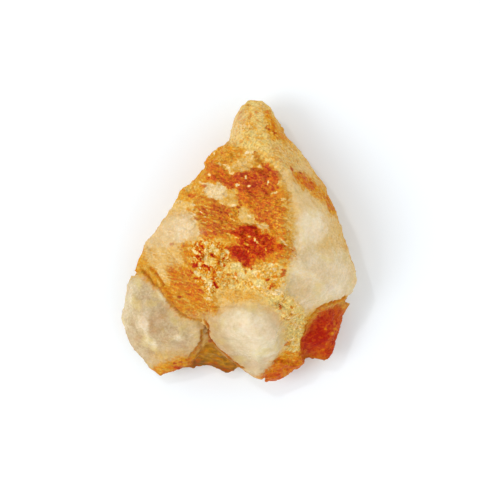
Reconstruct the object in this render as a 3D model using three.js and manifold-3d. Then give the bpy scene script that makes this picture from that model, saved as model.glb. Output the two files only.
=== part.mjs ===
// Sunstone: one rough, broken lump of orange and white feldspar that lies on its flat cleavage face.
// Units are millimetres and +Z is up. The origin is under the middle of the stone, on its resting face.
// Seen from above, the blunt tip points along +Y and the pale quartz lobes lie towards -Y.

import * as THREE from "three";
import { ConvexGeometry } from "three/addons/geometries/ConvexGeometry.js";
import { ImprovedNoise } from "three/addons/math/ImprovedNoise.js";
import { TessellateModifier } from "three/addons/modifiers/TessellateModifier.js";
import { mergeVertices } from "three/addons/utils/BufferGeometryUtils.js";
import Module from "manifold-3d";

const wasm = await Module();
wasm.setup();

// Driving dimensions.
const stoneWidth = 37.5; // across the outer lobes, along X
const stoneLength = 45; // from the broken foot to the blunt tip, along Y
const stoneHeight = 19; // from the face it rests on to the crest, along Z

// Crystal blocks that grew together, each a convex lump with flat faces. Corners are [across, along, up] in
// percent of the stone's width, length and height, from the origin. The footprint is on the resting face,
// and the last corners of a block, its roots, lie deep inside its neighbours.
const blocks = {
  groundMass: {
    corners: [
      [-46, -15, 23], [-47.5, -27, 20], [-43.5, -36.5, 16], [-33, -45, 12], [-17, -43, 12],
      [-4, -45, 13], [9, -46.5, 17], [20, -41.5, 19], [28, -38, 20], [38, -38.5, 18],
      [43, -31, 20], [45.5, -21, 26], [46.5, -12, 28], [43.5, 0, 26], [32, 17, 26],
      [19, 33, 24], [8, 41, 20], [-2, 38, 20], [-12, 27, 26], [-27, 11, 26], [-39, -4, 25],
      [-28, -27, 42], [-12, -34, 44], [5, -36, 52], [20, -34, 52], [36, -25, 46],
      [38, -5, 55], [20, 22, 55], [0, 26, 48], [-24, 0, 40],
    ],
    footprint: [
      [-39, -15], [-42.5, -29], [-34, -40.5], [-5, -42], [10, -43.5], [24, -38.5], [36, -35.5],
      [41, -22], [39, -7], [30, 8], [17, 24], [10, 32], [0, 33.5], [-7, 26], [-24, 8], [-34, -3],
    ],
  },
  orangeHeart: {
    corners: [
      [-3.5, 34, 55], [-11, 30, 46], [-17.5, 23, 47], [-22.5, 19.6, 45], [-26.3, 15, 44], [-33, 6.5, 42],
      [-35.5, 2, 43], [-25, -7, 53], [-15, -18, 65], [-9, -26, 72], [8, -24, 88],
      [19, -20, 90], [25.5, -8, 92], [25, 8.5, 89], [18.5, 19.5, 81], [9.5, 31.5, 65],
      [18, 1, 100], [-34, 0, 22], [-12, 27, 24], [10, 0, 20],
    ],
    footprint: [[-6, 20], [-28, 0], [-12, -20], [12, -18], [18, 4]],
  },
  peachLedge: {
    corners: [
      [-31, 6, 37], [-38, 1, 36], [-42.8, -6.6, 34], [-44.3, -11, 32], [-33, -19.5, 43],
      [-20, -28, 56], [-12, -31, 63], [-8, -24, 68], [-24, -4, 47], [-41, -8, 18], [0, -8, 40],
    ],
    footprint: [[-26, 2], [-35, -3], [-37, -9], [-24, -21], [-12, -25]],
  },
  orangeKnob: {
    corners: [
      [-4, 34.5, 50], [-7.5, 33.4, 45], [-11.8, 30.4, 39], [-14, 27, 38], [-16.5, 24, 42],
      [-10, 27, 58], [-3, 30, 62], [-13, 26, 18], [0, 20, 40],
    ],
    footprint: [[-9, 25], [-11, 21], [0, 22]],
  },
  bluntTip: {
    corners: [
      [0.5, 47.5, 37], [4, 49.5, 35], [9.5, 49.5, 35], [13, 47, 36], [7.5, 45, 48],
      [-2.5, 40, 40], [-4, 34.5, 43], [-5, 28, 57], [3, 38, 56], [9.5, 31.5, 70],
      [16, 41.5, 33], [18.9, 37.6, 35], [22.8, 33.4, 40], [18, 25.5, 78], [24, 25.5, 58],
      [3, 45.5, 17], [9.5, 45.5, 15], [15.5, 37, 12], [-1, 38.5, 15], [10, 15, 75],
    ],
    footprint: [[0, 34], [12, 32], [19, 19], [-3.5, 21]],
  },
  whiteShoulder: {
    corners: [
      [19.5, 37.4, 36], [26.5, 31.2, 38], [31.2, 26, 36], [35.6, 19.6, 39], [41, 9, 41],
      [45, -1.5, 40], [48.2, -9, 38], [51, -13.6, 36], [48, -18, 38], [44.5, -21, 44],
      [32, -25.5, 63], [25.5, -31, 66], [18, -22, 82], [19, 26.5, 73], [33, 6, 80],
      [39, -7, 72], [36, -15, 74], [26, 8.5, 91], [27, -8, 93], [17, 18, 79],
      [20, 5, 92], [20, -8, 90], [40, 5, 18], [47, -12, 17], [5, 0, 60],
    ],
    footprint: [[21, 21], [33, 6], [40, -8], [41, -16], [27.5, -24], [15, -18.5], [10, 8.5]],
  },
  middleLobe: {
    corners: [
      [-11, -22.5, 75], [-2, -19.5, 84], [6, -19.5, 90], [15, -21.5, 86], [19.5, -26, 80],
      [20, -32.5, 72], [17.5, -37, 63], [14, -41.5, 52], [9.5, -49.2, 33], [5, -47.3, 32],
      [0, -45, 36], [-5, -41.5, 46], [-10, -36, 57], [-14, -30.5, 64], [-13.5, -26, 70],
      [4, -28, 92], [9, -32, 87], [-2, -32, 82], [7, -39.5, 70], [-8, -27, 79], [5, -10, 50],
    ],
    footprint: [[-6, -31], [-1, -41], [7.5, -44.5], [13.5, -39], [16, -23], [-2, -21.5]],
  },
  orangeFoot: {
    corners: [
      [18.5, -22.5, 80], [26.5, -21.5, 73], [27.5, -30, 58], [26.5, -38.5, 37], [28, -43.8, 26],
      [22, -47, 24], [16, -50.3, 22], [11, -50.5, 25], [12.5, -40.5, 53], [20.5, -36, 59],
      [22, -29, 70], [15, -19, 84], [23, -19, 80], [17, -46, 12], [10, -15, 50],
    ],
    footprint: [[11.5, -45.5], [17, -45.5], [24.5, -40.5], [24, -23], [12.5, -25]],
  },
  redCorner: {
    corners: [
      [44.5, -20.5, 37], [47.4, -22.6, 30], [45.4, -28, 27], [43, -33, 26], [39.3, -43, 23],
      [36.5, -43.8, 23], [29.5, -43, 25], [25.5, -38.5, 33], [25.5, -31.5, 50], [32.5, -25.5, 53],
      [40, -25, 45], [37.5, -34.5, 40], [31, -36, 40], [20, -20, 35],
    ],
    footprint: [[25.5, -30], [36, -22], [41.5, -25], [37.5, -39], [29, -39.5]],
  },
  leftLobe: {
    corners: [
      [-46, -12.5, 27], [-41, -12, 33], [-48.5, -19, 28], [-50.5, -27.5, 25], [-48.6, -32.6, 22],
      [-46.2, -37.6, 22], [-41, -42.6, 19], [-34.3, -48.4, 16], [-28, -46.5, 20], [-20, -44, 25],
      [-16.5, -37, 38], [-14, -31, 52], [-20, -28.5, 52], [-32, -20, 43], [-38, -26.5, 47],
      [-29.5, -33.5, 51], [-41, -33.5, 41], [-30, -40, 40], [-45, -20, 39], [-10, -18, 35],
    ],
    footprint: [[-41.5, -17], [-44, -31], [-35, -42.5], [-22, -40.5], [-17, -30], [-32, -16]],
  },
  brownRecess: {
    corners: [
      [-18, -44, 14], [-11, -45, 12], [-5, -48.7, 12], [-0.8, -47.6, 14], [-3, -40, 35],
      [-10.5, -33, 44], [-15, -32, 47], [-18.5, -38.5, 30], [-5, -20, 40],
    ],
    footprint: [[-16.5, -41], [-6.5, -44.5], [-2, -43], [-6.5, -28.5], [-15, -30]],
  },
};

// Cleavage steps in the big orange face. Each is a wedge broken out of the face: its riser runs along the
// steps through the place, length long and drop deep, and its floor climbs back to the face over the width.
// A negative width puts the floor on the riser's other side.
const stepSlope = -14; // degrees, how far the steps fall to the right seen from above
const cleavageSteps = [
  { place: [-17, 20], length: 8, width: -5, drop: 0.6, turn: -4 },
  { place: [5, 25], length: 11, width: -4.5, drop: 0.7, turn: -6 },
  { place: [-22, 9], length: 11, width: -4, drop: 0.55, turn: 7 },
  { place: [10, 15], length: 9, width: 3.2, drop: 0.5, turn: 2 },
  { place: [4, 5], length: 17, width: -5.5, drop: 0.85, turn: -3 },
  { place: [-20, -2], length: 9, width: -4, drop: 0.5, turn: -10 },
  { place: [19, -3], length: 7, width: 2.4, drop: 0.5, turn: 9 },
  { place: [10, -10], length: 10, width: 2.5, drop: 0.6, turn: 5 },
  { place: [-6, -12], length: 12, width: -6, drop: 0.8, turn: -2 },
  { place: [12, -17], length: 9, width: 3, drop: 0.45, turn: -5 },
];
// The wedge's floor, seen from above: [share of the length, share of the width, share of the drop].
const wedgeFloor = [
  [-0.5, 0.02, 0],
  [-0.2, 0, 1],
  [0.22, -0.08, 1],
  [0.5, 0.04, 0],
  [0.3, 0.7, 0],
  [-0.15, 1, 0],
];
const wedgeRim = 0.05; // how far the wedge's shallow edges stay above the face
const wedgeMouth = 6; // how high the cutting wedge reaches

// Hollows left by curved fractures. A ball of the radius bites this many millimetres deep into the stone,
// where a line from the stone's heart towards the place leaves the surface.
const stoneHeart = [0, -5, 35];
const ballDetail = 3;
const shellFractures = [
  { towards: [-42, 8, 4], radius: 8, depth: 0.9 },
  { towards: [-22, 24, 0], radius: 6, depth: 0.8 },
  { towards: [38, 18, 0], radius: 9, depth: 1.0 },
  { towards: [50, -4, 2], radius: 7, depth: 0.9 },
  { towards: [36, -4, 92], radius: 15, depth: 0.8 },
  { towards: [-50, -30, 4], radius: 6, depth: 0.7 },
  { towards: [-36, -34, 60], radius: 12, depth: 0.6 },
  { towards: [-26, -50, 2], radius: 6, depth: 0.7 },
  { towards: [3, -50, 62], radius: 14, depth: 0.6 },
  { towards: [22, -50, -12], radius: 6, depth: 0.7 },
  { towards: [44, -40, -8], radius: 6, depth: 0.7 },
  { towards: [36, -36, 50], radius: 9, depth: 0.6 },
  { towards: [24, 38, 10], radius: 8, depth: 0.7 },
  { towards: [4, 50, 6], radius: 6, depth: 0.7 },
  { towards: [50, 50, -60], radius: 20, depth: 0.8 },
  { towards: [-70, -45, -60], radius: 16, depth: 0.7 },
  { towards: [50, -75, -60], radius: 11, depth: 0.6 },
];

// Grains that stand out of the crumbly zone, and the holes of grains that fell out of it. The middle and the
// spread are in percent like the corners, the least and most widths of a grain in millimetres.
const crumbs = { seed: 3, middle: [-9, -12], spread: [12, 9], count: 30, least: 0.7, most: 1.5 };
const pits = { seed: 8, middle: [-8, -10], spread: [14, 11], count: 22, least: 0.6, most: 1.3 };

// Lumps and hollows all over the broken surface, in millimetres.
const lumps = [
  { span: 5.5, height: 0.5 },
  { span: 1.9, height: 0.2 },
];

const longestEdge = 2.6; // of the finished surface's triangles
const edgeSplits = 24; // at most this many rounds of splitting
const restingSkin = 0.02; // vertices this near the resting face stay on it
const mergeWithin = 1e-3;

const { degToRad, seededRandom, lerp } = THREE.MathUtils;
const noise = new ImprovedNoise();

// A place given in percent, in millimetres.
function at([across, along, up = 0]) {
  return new THREE.Vector3(across * stoneWidth, along * stoneLength, up * stoneHeight).divideScalar(100);
}

// A closed geometry with only positions and shared vertices.
function welded(geometry) {
  const bare = geometry.index ? geometry.toNonIndexed() : geometry.clone();
  bare.deleteAttribute("normal");
  bare.deleteAttribute("uv");
  return mergeVertices(bare, mergeWithin);
}

function solidOf(geometry) {
  const closed = welded(geometry);
  const vertProperties = new Float32Array(closed.attributes.position.array);
  const triVerts = new Uint32Array(closed.index.array);
  return new wasm.Manifold(new wasm.Mesh({ numProp: 3, vertProperties, triVerts }));
}

function geometryOf(solid) {
  const { vertProperties, triVerts } = solid.getMesh();
  return new THREE.BufferGeometry()
    .setAttribute("position", new THREE.BufferAttribute(vertProperties, 3))
    .setIndex(new THREE.BufferAttribute(triVerts, 1));
}

function blockSolid({ corners, footprint }) {
  return solidOf(new ConvexGeometry([...corners, ...footprint].map(at)));
}

function grownTogether() {
  return Object.values(blocks)
    .map(blockSolid)
    .reduce((whole, block) => whole.add(block));
}

// A mesh of the solid that rays can be sent against.
function asTarget(solid) {
  return new THREE.Mesh(geometryOf(solid), new THREE.MeshBasicMaterial());
}

// The point where a ray first meets the stone, with the surface's normal there.
function surfaceHit(target, start, direction) {
  const [hit] = new THREE.Raycaster(start, direction).intersectObject(target);
  return { point: hit.point, normal: hit.face.normal };
}

function hitFromAbove(target, [across, along]) {
  return surfaceHit(target, at([across, along, 200]), new THREE.Vector3(0, 0, -1));
}

function stepWedge(target, { place, length, width, drop, turn }) {
  const { point, normal } = hitFromAbove(target, place);
  const angle = degToRad(stepSlope + turn);
  const heading = new THREE.Vector3(Math.cos(angle), Math.sin(angle), 0);
  const along = heading.projectOnPlane(normal).normalize();
  const across = new THREE.Vector3().crossVectors(normal, along);
  const floor = wedgeFloor.map(([u, v, w]) => new THREE.Vector3(u * length, v * width, wedgeRim - w * drop));
  const mouth = floor.map(({ x, y }) => new THREE.Vector3(x, y, wedgeMouth));
  const wedge = new ConvexGeometry([...floor, ...mouth]);
  wedge.applyMatrix4(new THREE.Matrix4().makeBasis(along, across, normal).setPosition(point));
  return solidOf(wedge);
}

function fractureBall(target, { towards, radius, depth }) {
  const heart = at(stoneHeart);
  const outward = at(towards).sub(heart).normalize();
  const start = heart.clone().addScaledVector(outward, stoneLength * 2);
  const { point, normal } = surfaceHit(target, start, outward.clone().negate());
  const centre = point.clone().addScaledVector(normal, radius - depth);
  const ball = new THREE.IcosahedronGeometry(radius, ballDetail);
  return solidOf(ball.translate(centre.x, centre.y, centre.z));
}

// Small blocky grains scattered over a patch of the upper surface, half sunk in it.
function grains(target, { seed, middle, spread, count, least, most }) {
  seededRandom(seed);
  return Array.from({ length: count }, () => {
    const angle = seededRandom() * 2 * Math.PI;
    const reach = Math.sqrt(seededRandom());
    const across = middle[0] + spread[0] * reach * Math.cos(angle);
    const along = middle[1] + spread[1] * reach * Math.sin(angle);
    const { point } = hitFromAbove(target, [across, along]);
    const size = lerp(least, most, seededRandom());
    const flatness = lerp(0.5, 1, seededRandom());
    const grain = new THREE.BoxGeometry(size, size * 0.85, size * flatness);
    grain.rotateX(seededRandom() * Math.PI).rotateY(seededRandom() * Math.PI);
    return solidOf(grain.translate(point.x, point.y, point.z));
  });
}

const cutAway = (whole, piece) => whole.subtract(piece);
const growOn = (whole, piece) => whole.add(piece);

// The outer skin alone: closed hollows between blocks are filled and loose chips dropped.
function solidLump(solid) {
  const bodies = solid.decompose();
  return bodies.reduce((largest, body) => (body.volume() > largest.volume() ? body : largest));
}

function brokenStone() {
  const lump = solidLump(grownTogether());
  const unbroken = asTarget(lump);
  const wedges = cleavageSteps.map((step) => stepWedge(unbroken, step));
  const balls = shellFractures.map((hollow) => fractureBall(unbroken, hollow));
  const broken = [...wedges, ...balls].reduce(cutAway, lump);
  const face = asTarget(broken);
  const grainy = grains(face, crumbs).reduce(growOn, broken);
  return solidLump(grains(face, pits).reduce(cutAway, grainy));
}

// Splits every long edge, so that the surface can be made rough.
function finelyDivided(geometry) {
  return welded(new TessellateModifier(longestEdge, edgeSplits).modify(geometry.toNonIndexed()));
}

// How far the broken surface stands out or in at a point, along its normal.
function lumpHeight({ x, y, z }) {
  const heights = lumps.map(({ span, height }) => noise.noise(x / span, y / span, z / span) * height);
  return heights.reduce((sum, height) => sum + height);
}

function roughened(geometry) {
  geometry.computeVertexNormals();
  const position = geometry.attributes.position;
  const normal = geometry.attributes.normal;
  const point = new THREE.Vector3();
  const outward = new THREE.Vector3();
  for (let i = 0; i < position.count; i++) {
    point.fromBufferAttribute(position, i);
    if (point.z < restingSkin) continue;
    outward.fromBufferAttribute(normal, i);
    point.addScaledVector(outward, lumpHeight(point));
    point.z = Math.max(point.z, restingSkin * 2);
    position.setXYZ(i, point.x, point.y, point.z);
  }
  geometry.deleteAttribute("normal");
  return geometry;
}

// Moves the stone so that the middle of its outline is over the origin.
function centred(geometry) {
  geometry.computeBoundingBox();
  const middle = geometry.boundingBox.getCenter(new THREE.Vector3());
  return geometry.translate(-middle.x, -middle.y, 0);
}

const feldspar = new THREE.MeshStandardMaterial({ color: 0xd9a45c, roughness: 0.55, metalness: 0 });

const surface = centred(roughened(finelyDivided(geometryOf(brokenStone()))));
const stone = new THREE.Mesh(surface, feldspar);
stone.name = "sunstone";

const sunstone = new THREE.Group();
sunstone.add(stone);

export default sunstone;
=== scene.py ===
import math

import bmesh
import bpy
import numpy as np
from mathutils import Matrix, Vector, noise


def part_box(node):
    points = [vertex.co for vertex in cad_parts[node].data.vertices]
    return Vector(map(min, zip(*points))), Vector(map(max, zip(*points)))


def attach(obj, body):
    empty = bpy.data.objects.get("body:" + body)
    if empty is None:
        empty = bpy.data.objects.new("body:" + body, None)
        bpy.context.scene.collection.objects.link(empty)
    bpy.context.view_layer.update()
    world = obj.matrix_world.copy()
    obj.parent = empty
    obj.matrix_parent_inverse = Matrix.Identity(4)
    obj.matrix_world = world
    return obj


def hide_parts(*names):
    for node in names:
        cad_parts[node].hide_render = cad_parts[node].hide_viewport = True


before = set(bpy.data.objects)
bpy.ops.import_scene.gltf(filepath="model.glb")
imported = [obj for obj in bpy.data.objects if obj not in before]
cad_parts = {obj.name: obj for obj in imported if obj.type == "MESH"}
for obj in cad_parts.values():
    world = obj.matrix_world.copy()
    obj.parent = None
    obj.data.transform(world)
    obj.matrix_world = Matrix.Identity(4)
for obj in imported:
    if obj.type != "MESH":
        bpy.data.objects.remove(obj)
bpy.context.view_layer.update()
noise.seed_set(4)   # any number but 0, which takes the clock and gives another stone each time
print("frame loaded")

mm = 0.001
stoneLow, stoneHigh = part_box("sunstone")
stoneMiddle = (stoneLow + stoneHigh) / 2 / mm
stoneSize = (stoneHigh - stoneLow) / mm


# The camera looks straight down, as the photograph does, with the blunt tip at the top of the picture.
cameraView = {
    "lens": 200,                # mm
    "sensor": 36,               # mm
    "field": 76.18 * mm,        # width of the picture at the height it is aimed at
    "aimHeight": 7 * mm,
    "nearest": 10 * mm,         # what the camera sees starts here
    "offset": (0.2 * mm, 0.19 * mm),
}


def makeCamera():
    data = bpy.data.cameras.new("camera")
    data.lens = cameraView["lens"]
    data.sensor_width = cameraView["sensor"]
    data.clip_start = cameraView["nearest"]
    camera = bpy.data.objects.new("camera", data)
    distance = cameraView["field"] * cameraView["lens"] / cameraView["sensor"]
    across, along = cameraView["offset"]
    camera.location = (across, along, cameraView["aimHeight"] + distance)
    bpy.context.scene.collection.objects.link(camera)
    bpy.context.scene.camera = camera


# A pale sweep under a bright sky, with a soft light from the left, a weak one from the right and a small,
# hard one that makes the grains sparkle.
studio = {
    "floorSize": 3.0,
    "floorColour": (0.84, 0.885, 0.925, 1),   # a little blue, against the warm light off the stone
    "floorRoughness": 0.9,
    "skyTop": 0.6,      # darker overhead, so that it lays no white veil on the stone
    "skySide": 1.6,
    "lamps": [          # size in m
        {"name": "keyLight", "from": (-0.42, -0.06, 0.5), "size": 0.3, "watts": 1.35},
        {"name": "fillLight", "from": (0.34, -0.36, 0.4), "size": 0.3, "watts": 0.15},
        {"name": "sparkleLight", "from": (-0.2, 0.22, 0.5), "size": 0.03, "watts": 0.35},
    ],
}


def plainMaterial(name, colour, roughness):
    material = bpy.data.materials.new(name)
    material.use_nodes = True
    shader = material.node_tree.nodes["Principled BSDF"]
    shader.inputs["Base Color"].default_value = colour
    shader.inputs["Roughness"].default_value = roughness
    return material


def makeStudio():
    bpy.ops.mesh.primitive_plane_add(size=studio["floorSize"])
    floor = bpy.context.object
    floor.name = "floor"
    floor.data.materials.append(plainMaterial("white sweep", studio["floorColour"], studio["floorRoughness"]))
    sky = bpy.data.worlds.new("sky")
    sky.use_nodes = True
    background = sky.node_tree.nodes["Background"]
    background.inputs["Color"].default_value = (1, 1, 1, 1)
    direction = sky.node_tree.nodes.new("ShaderNodeTexCoord")
    parts = sky.node_tree.nodes.new("ShaderNodeSeparateXYZ")
    fade = sky.node_tree.nodes.new("ShaderNodeMapRange")
    fade.inputs["To Min"].default_value = studio["skySide"]
    fade.inputs["To Max"].default_value = studio["skyTop"]
    sky.node_tree.links.new(direction.outputs["Generated"], parts.inputs["Vector"])
    sky.node_tree.links.new(parts.outputs["Z"], fade.inputs["Value"])
    sky.node_tree.links.new(fade.outputs["Result"], background.inputs["Strength"])
    bpy.context.scene.world = sky
    bpy.context.scene.view_settings.view_transform = "Standard"
    for lamp in studio["lamps"]:
        light = bpy.data.lights.new(lamp["name"], "AREA")
        light.size = lamp["size"]
        light.energy = lamp["watts"]
        holder = bpy.data.objects.new(lamp["name"], light)
        holder.location = lamp["from"]
        holder.rotation_euler = (-holder.location).to_track_quat("-Z", "Y").to_euler()
        bpy.context.scene.collection.objects.link(holder)


makeCamera()
makeStudio()
print("camera and studio done")


def srgb(red, green, blue):
    channels = [value / 255 for value in (red, green, blue)]
    linear = [c / 12.92 if c <= 0.04045 else ((c + 0.055) / 1.055) ** 2.4 for c in channels]
    return (*linear, 1)


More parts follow.
